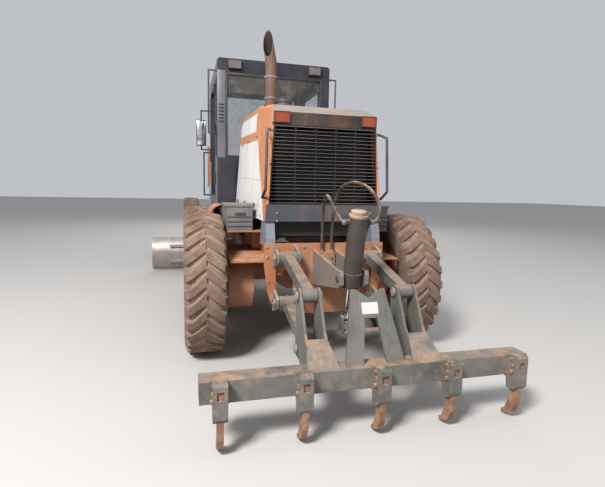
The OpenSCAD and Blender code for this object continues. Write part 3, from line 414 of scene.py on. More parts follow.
# Heights at which the hood's colours change
BAND_LOW, BAND_HIGH, WHITE_TOP = 2.11, 2.21, 2.40
# The last height is the top of the painted shade inside the hood
LOW_PANEL_TOP, STRIP_LOW, LAMPS_LOW, INSIDE_SHADE_TOP = 1.482, 2.165, 2.195, 2.25


def livery(look, tone):
    """White panels, orange bands and the black and grey zones of the hood's back end."""
    y = own_y(look)
    z = look.place("Z")
    side = step(look, look.size(look.facing("X")), 0.5)
    back = step(look, look.times(look.facing("Y"), -1.0), 0.5)
    # The front edge of the orange corner slopes back toward the bottom
    slope = look.times(look.math("SUBTRACT", BAND_LOW, z), 0.8625)
    front_of_post = step(look, look.plus(y, slope), -0.65)
    # The band rises toward the cab
    level = look.math("SUBTRACT", z, look.times(look.plus(y, 0.6), 0.052))
    below = look.times(under(look, level, BAND_LOW), front_of_post)
    over = look.times(between(look, level, BAND_HIGH, WHITE_TOP), step(look, y, -0.45))
    white = look.times(look.most(below, over), side)
    tone = look.mix(white, tone, look.mix(look.ramp(look.noise(3), 0.3, 0.7), WHITE, FADED_WHITE))
    # A black strip between the lamps and under them
    strip = look.times(look.most(under(look, off_middle(look), 0.335), under(look, z, LAMPS_LOW)), back)
    tone = look.mix(look.times(strip, step(look, z, STRIP_LOW)), tone, NEAR_BLACK)
    tone = look.mix(look.times(under(look, z, LOW_PANEL_TOP), back), tone, LOW_PANEL_GREY)
    # The inside is painted near-black: painted shade inside the hood
    width = look.plus(off_middle(look), look.times(z, HOOD_LEAN))
    inside = look.times(under(look, width, HOOD_HALF + HOOD_LOW * HOOD_LEAN - 0.02),
                        look.times(step(look, y, -1.352), under(look, z, INSIDE_SHADE_TOP)))
    tone = look.mix(inside, tone, NEAR_BLACK)
    bonnet = look.times(under(look, y, -1.195), step(look, look.facing("Z"), 0.5))
    return look.mix(bonnet, tone, BONNET_GREY)


def frame_paint(look, tone):
    """Grey gussets under the corners of the hood, and grey lugs behind the rear plate."""
    y = own_y(look)
    zone = look.times(between(look, look.place("Z"), 1.115, 1.34), between(look, y, -1.43, -1.05))
    zone = look.times(zone, step(look, off_middle(look), 0.4565, 0.001))
    tone = look.mix(zone, tone, GUSSET_GREY)
    behind = look.times(under(look, y, PLATE_Y, 0.001), step(look, off_middle(look), 0.075, 0.001))
    return look.mix(behind, tone, LUG_GREY)


def cab_dust_and_sheen(look, tone):
    """Lighter blue-grey on the cab's sides: dust streaks, and painted sheen."""
    side = look.times(step(look, look.size(look.facing("X")), 0.8), step(look, off_middle(look), 0.77))
    streaks = look.ramp(look.noise(10, 4, 0.6, stretch=(1, 1, 0.1)), 0.3, 0.7, 0.45, 0.9)
    return look.mix(look.times(side, streaks), tone, CAB_DUST_AND_SHEEN)


def guard_paint(look, tone):
    """Rusty orange on the rolled guards of the catwalks."""
    zone = look.times(between(look, own_y(look), -0.335, 0.305), between(look, look.place("Z"), 1.2, 1.45))
    zone = look.times(zone, between(look, off_middle(look), 0.851, 1.0))
    return look.mix(zone, tone, GUARD_ORANGE)


def stack_bend():
    """Place at the upper end of the stack's elbow, its z axis along the mouth pipe."""
    bend_r = 0.2
    return (Matrix.Translation(at(STACK_X, STACK_Y, 2.795)) @ Matrix.Rotation(math.radians(53), 4, "Z")
            @ Matrix.Translation((-bend_r, 0, 0)) @ Matrix.Rotation(math.radians(-25), 4, "Y")
            @ Matrix.Translation((bend_r, 0, 0)))


def soot_paint(look, tone):
    """Black soot on the inside of the stack's mouth."""
    bend = stack_bend()
    away = look.make("ShaderNodeVectorMath", operation="SUBTRACT")
    look.feed(away.inputs[0], look.coords)
    away.inputs[1].default_value = bend.translation
    cross = look.make("ShaderNodeVectorMath", operation="CROSS_PRODUCT")
    look.feed(cross.inputs[0], away.outputs[0])
    cross.inputs[1].default_value = (bend.to_3x3() @ Vector((0, 0, 1))).normalized()
    length = look.make("ShaderNodeVectorMath", operation="LENGTH")
    look.feed(length.inputs[0], cross.outputs[0])
    inside = under(look, length.outputs["Value"], 0.0505, 0.001)
    return look.mix(look.times(inside, step(look, look.place("Z"), 2.74)), tone, SOOT_BLACK)


MATS = {}


def add_look(maker, name, *settings, **more):
    MATS[name] = maker(name, *settings, **more)


# Base, faded, dust, rust, roughness, metal
add_look(worn_metal, "orange_paint", ORANGE, FADED_ORANGE, 0.62, 0.28, 0.5, paint=frame_paint)
add_look(worn_metal, "guard_paint", STEEL_BLACK, FADED_BLACK, 0.42, 0.25, 0.5, paint=guard_paint)
add_look(worn_metal, "grey_box", (0.085, 0.09, 0.10), (0.14, 0.145, 0.15), 0.35, 0.12, 0.5)
add_look(worn_metal, "stack_steel", (0.10, 0.055, 0.038), (0.155, 0.092, 0.068), 0.2, 0.7, 0.75, chips=0.5,
         paint=soot_paint)
add_look(worn_metal, "dust_cap", (0.24, 0.175, 0.125), (0.33, 0.245, 0.175), 0.9, 0.1, 0.8)
add_look(worn_metal, "hood_paint", BAND_ORANGE, FADED_BAND, 0.32, 0.12, 0.42, chips=0.35, paint=livery)
# The cab's side faces get dust streaks and a painted sheen
add_look(worn_metal, "dark_paint", (0.007, 0.008, 0.017), (0.016, 0.018, 0.032), 0.12, 0.03, 0.36, chips=0.2,
         paint=cab_dust_and_sheen)
add_look(worn_metal, "cab_grey", (0.075, 0.083, 0.10), (0.115, 0.12, 0.135), 0.25, 0.04, 0.4, chips=0.2)
add_look(worn_metal, "black_steel", STEEL_BLACK, FADED_BLACK, 0.42, 0.18, 0.5)
add_look(worn_metal, "grey_steel", (0.12, 0.12, 0.12), (0.19, 0.18, 0.17), 0.5, 0.35, 0.55)
add_look(worn_metal, "grille_black", (0.004, 0.004, 0.004), (0.008, 0.007, 0.007), 0.03, 0.03, 0.6, chips=0.0)
# The slats' grey is a painted highlight: the lit edges of black slats
add_look(worn_metal, "slat_edge", (0.10, 0.095, 0.09), (0.17, 0.16, 0.15), 0.25, 0.1, 0.5)
add_look(worn_metal, "ripper_paint", (0.070, 0.080, 0.077), (0.13, 0.135, 0.125), 0.7, 0.40, 0.5, chips=0.8,
         dust_tone=(0.25, 0.165, 0.11))
add_look(worn_metal, "rusty_steel", (0.15, 0.072, 0.042), (0.24, 0.125, 0.08), 0.5, 0.8, 0.75, chips=0.8)
add_look(worn_metal, "blade_steel", (0.30, 0.28, 0.26), (0.42, 0.39, 0.36), 0.4, 0.5, 0.36, 0.75)
add_look(worn_metal, "rim_paint", (0.30, 0.085, 0.030), (0.36, 0.145, 0.07), 0.65, 0.35, 0.6)
add_look(worn_metal, "engine_paint", (0.010, 0.010, 0.012), (0.018, 0.018, 0.018), 0.12, 0.1, 0.6)
add_look(worn_metal, "worn_steel", (0.24, 0.22, 0.20), (0.34, 0.31, 0.28), 0.45, 0.5, 0.45, 0.5)
# Base, roughness, dust
# Near-black for soot, and painted shade in openings
add_look(plain_plastic, "soot", (0.006, 0.005, 0.005), 0.9, 0.1)
add_look(plain_plastic, "hose_rubber", (0.035, 0.028, 0.024), 0.7, 0.75)
add_look(plain_plastic, "black_plastic", (0.016, 0.017, 0.019), 0.5, 0.3)
add_look(plain_plastic, "beige_lining", (0.44, 0.36, 0.27), 0.85, 0.1)
add_look(plain_plastic, "label_white", (0.50, 0.49, 0.47), 0.5, 0.3)
MATS["dusty_rubber"] = tyre_rubber()
add_look(chrome, "rod_chrome")
add_look(chrome, "mirror_glass")
add_look(glass, "tinted_glass", (0.10, 0.115, 0.125), 0.2, 0.16)
add_look(lens, "lamp_red", (0.24, 0.028, 0.005), 0.3, dust=0.08)
add_look(lens, "lamp_clear", (0.095, 0.085, 0.075), dust=0.25)
add_look(woven, "seat_fabric", (0.028, 0.029, 0.034))
NODE_LOOK = {"hood": "hood_paint", "side_panels": "hood_paint", "grille": "grille_black",
             "platforms": "guard_paint", "battery_boxes": "grey_box", "exhaust": "stack_steel"}


def dress_nodes():
    """Gives each node of the frame the finish of its slot."""
    for row in frame["record"]["subparts"]:
        node = nodes[row["node"]]
        name = NODE_LOOK.get(row["node"], row["material_slot"])
        node.data.materials.clear()
        node.data.materials.append(MATS[name])


dress_nodes()

# Mesh making


class Piece:
    """One mesh piece, filled by short calls and then placed on a body."""

    def __init__(self, name, body, look, slot=None):
        self.name = name
        self.body = body
        self.look = look
        self.slot = slot
        self.bm = bmesh.new()

    def faces(self, points, faces, place=None):
        """Faces on points, each face given by the points' numbers."""
        made = [self.bm.verts.new(place @ Vector(p) if place else Vector(p)) for p in points]
        for f in faces:
            self.bm.faces.new([made[i] for i in f])

    def solid(self, points):
        """A body between two outlines of as many points."""
        n = len(points) // 2
        sides = [(n + k, n + (k + 1) % n, (k + 1) % n, k) for k in range(n)]
        self.faces(points, [range(n), range(2 * n - 1, n - 1, -1)] + sides)

    def box(self, low, high, place=None, chamfer=0.0):
        """A box, its edges cut by the chamfer."""
        half = (Vector(high) - Vector(low)) / 2
        mid = (Vector(high) + Vector(low)) / 2
        tmp = bmesh.new()
        bmesh.ops.create_cube(tmp, size=1)
        bmesh.ops.scale(tmp, vec=half * 2, verts=tmp.verts)
        if chamfer:
            bmesh.ops.bevel(tmp, geom=tmp.edges[:], offset=chamfer, segments=2, profile=0.5, affect="EDGES")
        bmesh.ops.translate(tmp, vec=mid, verts=tmp.verts)
        if place:
            tmp.transform(place)
        self.join(tmp)

    def join(self, other):
        mesh = bpy.data.meshes.new("part")
        other.to_mesh(mesh)
        other.free()
        self.bm.from_mesh(mesh)
        bpy.data.meshes.remove(mesh)

    def lathe(self, profile, place, steps=32, closed=False):
        """Turns (radius, height) pairs about the z axis of place."""
        rows = [[self.bm.verts.new(place @ Vector(around(r, a, h))) for a in turns(steps)]
                for r, h in profile]
        pairs = list(zip(rows, rows[1:]))
        if closed:
            pairs.append((rows[-1], rows[0]))
        for one, two in pairs:
            for i in range(steps):
                j = (i + 1) % steps
                self.bm.faces.new((one[i], one[j], two[j], two[i]))
        if not closed:
            self.bm.faces.new(rows[0][::-1])
            self.bm.faces.new(rows[-1])

    def sweep(self, points, radius, sides=6):
        """A tube along points."""
        rows = []
        count = len(points)
        side = None
        for i, p in enumerate(points):
            ahead = (Vector(points[min(i + 1, count - 1)]) - Vector(points[max(i - 1, 0)])).normalized()
            if side is None:
                side = ahead.orthogonal().normalized()
            side = (side - ahead * side.dot(ahead)).normalized()
            other = ahead.cross(side)
            rows.append([self.bm.verts.new(Vector(p) + radius * (math.cos(a) * side + math.sin(a) * other))
                         for a in turns(sides)])
        for one, two in zip(rows, rows[1:]):
            for k in range(sides):
                j = (k + 1) % sides
                self.bm.faces.new((one[k], one[j], two[j], two[k]))
        self.bm.faces.new(rows[0][::-1])
        self.bm.faces.new(rows[-1])

    def bolt(self, point, way, size=0.012, height=0.009):
        """A hexagon head with a chamfer on a washer."""
        place = facing(point, way)
        self.lathe([(size * 1.25, -0.001), (size * 1.25, 0.0025)], place, 16)
        self.lathe([(size, 0.0025), (size, height * 0.8), (size * 0.86, height)], place, 6)

    def done(self, smooth=35, mirror_x=False):
        """Makes the object, with its mirror image on the machine's other side if asked."""
        if mirror_x:
            copy = self.bm.copy()
            bmesh.ops.scale(copy, vec=(-1, 1, 1), verts=copy.verts)
            bmesh.ops.reverse_faces(copy, faces=copy.faces)
            self.join(copy)
        bmesh.ops.recalc_face_normals(self.bm, faces=self.bm.faces)
        mesh = bpy.data.meshes.new(self.name)
        self.bm.to_mesh(mesh)
        self.bm.free()
        mesh.shade_smooth()
        mesh.set_sharp_from_angle(angle=math.radians(smooth))
        obj = bpy.data.objects.new(self.name, mesh)
        scene.collection.objects.link(obj)
        mesh.materials.append(MATS[self.look])
        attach(obj, self.body)
        return obj


def facing(point, way):
    """A place at point whose z axis looks along way."""
    return Matrix.Translation(point) @ Vector(way).to_track_quat("Z", "Y").to_matrix().to_4x4()


def upright(x, y, z):
    return Matrix.Translation(at(x, y, z))


def wheel_axis(side, y):
    """A place in the middle of a wheel, its z axis along the axle and outward."""
    return upright(side * WHEEL_X, y, AXLE_Z) @ Matrix.Rotation(side * math.pi / 2, 4, "Y")


# Tyres

RIM_R = 0.305
TYRE_R = 0.684
TYRE_HALF = 0.1875
LUG_H = 0.029
LUGS = 28
LUG_SWEEP = math.radians(11)
LUG_WIDE = math.radians(6.9)


def tyre_radius(u):
    """Radius of the carcass under the lugs, over the width."""
    t = min(1.0, abs(u) / TYRE_HALF)
    return TYRE_R - LUG_H - 0.052 * t ** 3.2


def add_tyre(name, side, y):
    tyre = Piece(f"tread_{name}", f"wheel_{name}", "dusty_rubber", "dusty_rubber")
    axis = wheel_axis(side, y)
    wall = [(RIM_R + 0.001, 0.112), (RIM_R + 0.024, 0.118), (RIM_R + 0.036, 0.133), (RIM_R + 0.060, 0.150),
            (RIM_R + 0.066, 0.158), (RIM_R + 0.074, 0.160), (RIM_R + 0.110, 0.175), (RIM_R + 0.165, 0.1855),
            (RIM_R + 0.210, 0.1875), (RIM_R + 0.250, 0.184), (RIM_R + 0.258, 0.188), (RIM_R + 0.266, 0.183)]
    crown = [(tyre_radius(u), u) for u in (0.182, 0.170, 0.150, 0.12, 0.08, 0.04, 0.0)]
    half = wall + crown
    profile = half + [(r, -u) for r, u in reversed(half[:-1])]
    tyre.lathe(profile, axis, 96, closed=True)
    for hand in (-1, 1):
        for k in range(LUGS):
            start = 2 * math.pi * (k + (0.5 if hand < 0 else 0)) / LUGS
            add_lug(tyre, axis, hand, start, side * LUG_SWEEP)
    obj = tyre.done(40)
    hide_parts(f"tyre_{name}")


def bar_row(mid, half, narrow, low, top, hand):
    """Four points across a lug: its feet and its narrower top, each low and top a (radius, height) pair."""
    cross = [(low, mid - half), (top, mid - half * narrow), (top, mid + half * narrow), (low, mid + half)]
    return [around(spot[0], a, hand * spot[1]) for spot, a in cross]


def add_lug(tyre, axis, hand, start, sweep):
    """A bar from the middle of the tread to the shoulder, bent back and running down the side."""
    rows = []
    for u, share, wide in ((0.0, 0.0, 1.62), (0.035, 0.24, 1.42), (0.075, 0.52, 1.2), (0.115, 0.78, 1.12),
                           (0.158, 0.97, 1.12), (0.184, 1.0, 1.2)):
        base = tyre_radius(u)
        top = min(TYRE_R - 0.001, TYRE_R - 0.020 * (u / TYRE_HALF) ** 4)
        if u > 0.18:
            top = base + 0.006
        rows.append(bar_row(start + sweep * share, LUG_WIDE * wide / 2, 0.74,
                            (base - 0.012, u), (top, u), hand))
    # The bar's foot runs down the shoulder
    for r, u, wide in ((TYRE_R - 0.135, 0.1865, 0.55), (TYRE_R - 0.160, 0.184, 0.3)):
        rows.append(bar_row(start + sweep, LUG_WIDE * wide / 2, 0.7, (r, u - 0.01), (r, u + 0.0008), hand))
    points = [p for row in rows for p in row]
    faces = [(4 * i + k, 4 * i + (k + 1) % 4, 4 * i + 4 + (k + 1) % 4, 4 * i + 4 + k)
             for i in range(len(rows) - 1) for k in range(4)]
    faces += [(0, 3, 2, 1), tuple(4 * (len(rows) - 1) + k for k in range(4))]
    tyre.faces(points, faces, axis)


WHEELS = [(f"{s}_{p}", SIDES[s], y) for s in SIDES
          for p, y in (("back", -TANDEM_HALF), ("mid", TANDEM_HALF), ("front", WHEEL_BASE))]
for wheel_name, wheel_side, wheel_y in WHEELS:
    add_tyre(wheel_name, wheel_side, wheel_y)

# Fine pieces on the hood


def frame_ring(piece, low, high, axis, wide, chamfer=0.0):
    """Four bars round the rectangle that low and high span across axis."""
    u, v = [k for k in range(3) if k != axis]
    for k, other in ((u, v), (v, u)):
        for end in (0, 1):
            a, b = list(low), list(high)
            if end:
                a[k] = high[k] - wide
            else:
                b[k] = low[k] + wide
            if k == v:
                a[other] += wide
                b[other] -= wide
            piece.box(at(*a), at(*b), chamfer=chamfer)


def add_hood_fittings():
    trim = Piece("hood_bolts", "rear", "grey_steel")
    for i in range(13):
        trim.bolt(at(hood_x(1.365), -1.33 + 0.178 * i, 1.365), (1, 0, HOOD_LEAN), 0.009, 0.006)
    for i in range(7):
        z = 1.46 + 0.11 * i
        trim.bolt(at(hood_x(z), -1.355 + 0.033 * (z - HOOD_LOW), z), (1, 0, HOOD_LEAN), 0.008, 0.006)
    for z in (1.53, 1.83, 2.12):
        x = GRILLE_HALF - (z - GRILLE_LOW) * GRILLE_LEAN + 0.013
        trim.bolt(at(x, -1.4 + 0.035 * (z - HOOD_LOW) / 0.955 - 0.0005, z), BACKWARD, 0.008, 0.006)
    trim.done(mirror_x=True)
    hinges = Piece("hood_door_hinges", "rear", "hood_paint")
    for y in (-0.55, 0.0, 0.55):
        hinges.lathe([(0.007, -0.05), (0.008, -0.049), (0.008, 0.049), (0.007, 0.05)],
                     facing(at(hood_x(2.16) + 0.004, y, 2.16), (0, 1, 0)), 12)
    hinges.done(mirror_x=True)
    doors = Piece("hood_door_fittings", "rear", "black_steel")
    plate_x, latch_x = hood_x(1.46), hood_x(1.45)
    for y in (-0.72, -0.02, 0.66):
        doors.box(at(plate_x - 0.004, y - 0.05, 1.43), at(plate_x + 0.007, y + 0.05, 1.475), chamfer=0.004)
        doors.box(at(latch_x, y - 0.03, 1.44), at(latch_x + 0.018, y + 0.03, 1.452), chamfer=0.003)
    doors.done(mirror_x=True)
    lips = Piece("louvre_lips", "rear", "hood_paint")
    for y0, y1, z0, count in ((-0.96, -0.56, 1.5, 7), (-0.48, -0.08, 1.5, 9), (0.12, 0.62, 1.5, 9)):
        for i in range(count):
            z = z0 + 0.048 * i + 0.017
            x = hood_x(z)
            section = ((x - 0.002, z + 0.010), (x + 0.011, z - 0.003),
                       (x + 0.009, z - 0.006), (x - 0.002, z + 0.004))
            lips.solid([at(px, y, pz) for y in (y0 - 0.006, y1 + 0.006) for px, pz in section])
    lips.done()
    # A plain sheet with one crease covers the left side's louvres
    skin = Piece("side_skin", "rear", "hood_paint")
    edge = ((-1.0, 1.46), (-1.0, 1.95), (-0.74, 2.11), (0.73, 2.11), (0.73, 1.46))
    skin.solid([at(-hood_x(z) - d, y, z) for d in (-0.001, 0.003) for y, z in edge])
    crease = ((-0.99, 1.70), (-0.2, 1.735), (0.72, 1.76))
    skin.sweep([at(-hood_x(z) - 0.0025, y, z) for y, z in crease], 0.0035)
    skin.done()
    # The slats are grey as a painted highlight for the lit edges of black slats
    slats = Piece("grille_slats", "rear", "slat_edge")
    posts = (-GRILLE_HALF, -0.279, -0.093, 0.093, 0.279, GRILLE_HALF)
    for i in range(22):
        z = 1.495 + i * 0.03152
        lean = (z - GRILLE_LOW) * GRILLE_LEAN
        for a, b in zip(posts, posts[1:]):
            left = max(a + 0.005, -GRILLE_HALF + 0.012 + lean)
            right = min(b - 0.005, GRILLE_HALF - 0.012 - lean)
            slats.box(at(left, -1.3915, z - 0.0005), at(right, -1.386, z + 0.003))
    slats.done()
    guard = Piece("lamp_housings", "rear", "black_steel")
    frame_ring(guard, (0.334, -1.397, 2.189), (0.476, -1.366, 2.284), 1, 0.006)
    guard.done(mirror_x=True)
    clamps = Piece("stack_clamps", "rear", "grey_steel")
    for z in (2.50, 2.70):
        clamps.lathe([(0.0545, -0.012), (0.058, -0.011), (0.058, 0.011), (0.0545, 0.012)],
                     upright(STACK_X, STACK_Y, z), 32)
        clamps.box(at(-0.46, -0.797, z - 0.009), at(-0.447, -0.783, z + 0.009), chamfer=0.002)
    clamps.done()
    # A near-black plug in the stack: soot, and painted shade for the pipe's dark inside
    mouth = Piece("stack_mouth_soot_and_shade", "rear", "soot")
    mouth.lathe([(0.0466, -0.002), (0.0466, 0.006)], stack_bend(), 24)
    mouth.done()
    bands = Piece("cleaner_bands", "rear", "grey_steel")
    cleaner = upright(-0.107, -0.1, 2.56)
    bands.lathe([(0.0945, 0.004), (0.0975, 0.005), (0.0975, 0.015), (0.0945, 0.016)], cleaner, 36)
    bands.lathe([(0.0945, 0.052), (0.0975, 0.053), (0.0975, 0.062), (0.0945, 0.063)], cleaner, 36)
    bands.lathe([(0.012, 0.102), (0.014, 0.106), (0.011, 0.113)], cleaner, 12)
    bands.done()


def add_cab_fittings():
    seals = Piece("window_seals", "rear", "black_plastic")
    frame_ring(seals, (-0.668, 0.984, 2.047), (0.668, 0.994, 3.153), 1, 0.022, 0.003)
    seals.done()
    side = Piece("side_window_seals", "rear", "black_plastic")
    frame_ring(side, (0.782, 1.086, 2.046), (0.789, 1.274, 3.104), 0, 0.014)
    frame_ring(side, (0.782, 2.436, 2.246), (0.789, 2.594, 3.104), 0, 0.014)
    side.done(mirror_x=True)
    post = Piece("rear_post_cover", "rear", "cab_grey")
    post.box(at(-0.782, 0.9865, 2.03), at(-0.675, 0.9895, 3.18), chamfer=0.001)
    post.done()
    # Near-black boxes in the post cover: painted shade in its vent slots
    slots = Piece("post_slots", "rear", "soot")
    for i in range(6):
        slots.box(at(-0.762, 0.9855, 2.50 + 0.045 * i), at(-0.695, 0.987, 2.518 + 0.045 * i))
    slots.done()
    wiper = Piece("rear_wiper", "rear", "black_plastic")
    wiper.lathe([(0.016, 0), (0.016, 0.012), (0.010, 0.016)], facing(at(0.0, 0.986, 3.17), BACKWARD), 16)
    wiper.sweep([at(0, 0.972, 3.17), at(0.07, 0.974, 2.95), at(0.13, 0.978, 2.78)], 0.006)
    wiper.box(at(0.120, 0.974, 2.60), at(0.132, 0.986, 2.98), chamfer=0.002)
    wiper.done()
    ceiling = Piece("ceiling", "rear", "beige_lining")
    ceiling.box(at(-0.73, 1.045, 3.215), at(0.73, 2.58, 3.228), chamfer=0.003)
    ceiling.done()
    lining = Piece("cab_lining", "rear", "black_plastic")
    lining.box(at(-0.73, 1.045, 1.392), at(0.73, 2.50, 1.402), chamfer=0.003)
    for x in (-0.30, -0.24, -0.18, 0.18, 0.24, 0.30):
        lining.sweep([at(x, 2.09, 1.94), at(x * 0.98, 2.02, 2.12)], 0.006)
        lining.lathe([(0.010, 0), (0.015, 0.01), (0.015, 0.022), (0.008, 0.032)],
                     facing(at(x * 0.98, 2.02, 2.115), (0, -0.36, 0.93)), 12)
    lining.done()
    handles = Piece("cab_hardware", "rear", "worn_steel")
    for z in (1.715, 2.415, 2.965):
        for y in (1.305, 1.315):
            handles.bolt(at(0.785, y - 0.004, z + 0.003), RIGHTWARD, 0.005, 0.004)
    handles.done(mirror_x=True)
    mirrors = Piece("mirror_faces", "rear", "mirror_glass")
    mirrors.box(at(0.868, 2.5575, 2.335), at(1.002, 2.561, 2.725), chamfer=0.001)
    mirrors.done(mirror_x=True)
    bezels = Piece("work_lamp_bezels", "rear", "black_plastic")
    frame_ring(bezels, (0.462, 0.938, 3.20), (0.646, 0.975, 3.32), 1, 0.012, 0.002)
    frame_ring(bezels, (0.446, 2.69, 3.205), (0.624, 2.715, 3.315), 1, 0.012, 0.002)
    bezels.done(mirror_x=True)
    roof = Piece("roof_trim", "rear", "dark_paint")
    roof.box(at(-0.70, 1.06, 3.335), at(0.70, 2.56, 3.3395), chamfer=0.002)
    roof.done()
    for name, x in SIDES.items():
        door = Piece(f"door_trim_{name}", f"door_{name}", "black_plastic")
        low, high = sorted((x * 0.783, x * 0.7885))
        frame_ring(door, (low, 1.396, 1.506), (high, 2.314, 3.104), 0, 0.018)
        low, high = sorted((x * 0.79, x * 0.811))
        for z in (2.06, 2.215):
            door.box(at(low, 2.322, z), at(high, 2.358, z + 0.025), chamfer=0.004)
        door.done()


def add_seat():
    base = Piece("seat_base", "rear", "black_plastic")
    base.box(at(-0.12, 1.33, 1.391), at(0.12, 1.62, 1.64), chamfer=0.012)
    base.box(at(-0.225, 1.275, 1.63), at(0.225, 1.705, 1.665), chamfer=0.008)
    for x in (-0.29, 0.255):
        base.box(at(x, 1.34, 1.92), at(x + 0.045, 1.62, 1.955), chamfer=0.01)
        base.box(at(x + 0.015, 1.33, 1.66), at(x + 0.03, 1.37, 1.93), chamfer=0.004)
    base.done()
    cushion = Piece("seat_cushion", "rear", "seat_fabric", "seat_fabric")
    cushion.box(at(-0.238, 1.262, 1.665), at(0.238, 1.718, 1.779), chamfer=0.04)
    cushion = cushion.done(60)
    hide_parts("seat")
    back = Piece("seat_back", "rear", "seat_fabric", "seat_fabric")
    lean = upright(0, 1.30, 1.80) @ Matrix.Rotation(math.radians(7), 4, "X")
    back.box((-0.228, -0.05, 0.0), (0.228, 0.05, 0.575), lean, chamfer=0.042)
    back = back.done(60)


# Wheels


def add_wheel_fittings():
    for name, side, y in WHEELS:
        nuts = Piece(f"wheel_nuts_{name}", f"wheel_{name}", "worn_steel")
        axis = wheel_axis(side, y)
        for a in turns(10):
            nuts.bolt(axis @ Vector(around(0.083, a, -0.0205)), (side, 0, 0), 0.0105, 0.014)
        nuts.lathe([(0.052, -0.021), (0.052, 0.004), (0.044, 0.012)], axis, 32)
        nuts.done()
        ring = Piece(f"lock_ring_{name}", f"wheel_{name}", "rim_paint")
        ring.lathe([(0.302, 0.112), (0.331, 0.124), (0.331, 0.131), (0.318, 0.135), (0.300, 0.130)],
                   axis, 64, closed=True)
        valve = ((0.287, 0, 0.05), (0.283, 0, 0.08), (0.279, 0, 0.125))
        ring.sweep([axis @ Vector(p) for p in valve], 0.004)
        ring.done()


# Frame, ladders and ripper


def add_rear_fittings():
    block = Piece("valve_fittings", "rear", "grey_steel")
    for x in (-0.045, 0.045):
        block.lathe([(0.019, -0.001), (0.019, 0.018), (0.016, 0.021)], upright(x, -1.478, 1.064), 6)
    for x in (-0.03, 0.035):
        block.lathe([(0.014, 0), (0.014, 0.012), (0.011, 0.014)], facing(at(x, -1.506, 1.02), BACKWARD), 6)
        block.lathe([(0.017, 0), (0.017, 0.006)], facing(at(x, -1.506, 0.98), BACKWARD), 16)
    for x, z in ((-0.055, 1.055), (0.06, 1.055), (-0.055, 0.96), (0.06, 0.96)):
        block.bolt(at(x, -1.506, z), BACKWARD, 0.005, 0.004)
    block.done()
    bolts = Piece("plate_bolts", "rear", "worn_steel")
    for x, z in ((0.535, 1.11), (0.535, 1.02), (0.52, 0.80), (0.20, 1.11), (0.20, 0.55), (0.10, 0.55),
                 (0.49, 0.64)):
        bolts.bolt(at(x, -1.4485, z), BACKWARD, 0.012, 0.009)
    for z in (1.03, 0.64):
        for way in (-1, 1):
            x = LINK_X + way * 0.111
            bolts.lathe([(0.036, -0.001), (0.036, 0.008), (0.032, 0.011)],
                        facing(at(x, LINK_FRONT, z), (way, 0, 0)), 24)
            bolts.bolt(at(x + way * 0.011, LINK_FRONT, z), (way, 0, 0), 0.010, 0.006)
    for z in (1.335, 1.405):
        bolts.bolt(at(0.44, -1.4, z), BACKWARD, 0.009, 0.006)
    bolts.done(mirror_x=True)
    welds = Piece("plate_welds", "rear", "orange_paint")
    for z in (1.03, 0.64):
        for x in (0.272, 0.295, 0.455, 0.478):
            welds.sweep([at(x, PLATE_Y, z - 0.10 + 0.02 * k) for k in range(11)], 0.0045)
    for x in (0.083, 0.117):
        welds.sweep([at(x, PLATE_Y, 0.77 + 0.03 * k) for k in range(11)], 0.0045)
    welds.done(mirror_x=True)
    label = Piece("plate_label", "rear", "label_white")
    label.box(at(0.150, PLATE_Y, 0.94), at(0.205, -1.448, 0.975))
    label.done()
    case = Piece("case_fittings", "rear", "grey_steel")
    for y in (-TANDEM_HALF, TANDEM_HALF):
        for a in turns(12):
            spot = at(CASE_X, y + 0.215 * math.cos(a), AXLE_Z + 0.215 * math.sin(a))
            case.bolt(spot, RIGHTWARD, 0.010, 0.007)
    for z in (0.80, 0.90):
        case.lathe([(0.022, 0), (0.022, 0.012), (0.016, 0.016)], facing(at(CASE_X, 0.0, z), RIGHTWARD), 6)
    case.done(mirror_x=True)
    boxes = Piece("battery_lids", "rear", "black_steel")
    for y in (-0.86, -0.44):
        boxes.box(at(0.838, y - 0.02, 1.40), at(0.8445, y + 0.02, 1.455), chamfer=0.002)
    boxes.box(at(0.66, -0.958, 1.36), at(0.76, -0.954, 1.385), chamfer=0.002)
    for z in (1.245, 1.29, 1.335):
        boxes.box(at(0.60, -0.9525, z), at(0.83, -0.9495, z + 0.012))
    boxes.done(mirror_x=True)
    grip = Piece("step_grips", "rear", "black_steel")
    dots = [(x, 1.63 + 0.055 * i, z) for z in (0.496, 0.776, 1.056) for i in range(8)
            for x in (0.86, 0.94, 1.02, 1.09)]
    dots += [(x, -0.24 + 0.09 * i, 1.40) for i in range(14) for x in (0.62, 0.70, 0.78)]
    for dot in dots:
        grip.lathe([(0.010, -0.001), (0.008, 0.004)], upright(*dot), 8)
    grip.done(mirror_x=True)


SHANKS = [0.52 * i for i in range(-2, 3)]
TOOL_Y, TOOL_D, TOOL_Z, TOOL_H = -2.66, 0.15, 0.325, 0.14


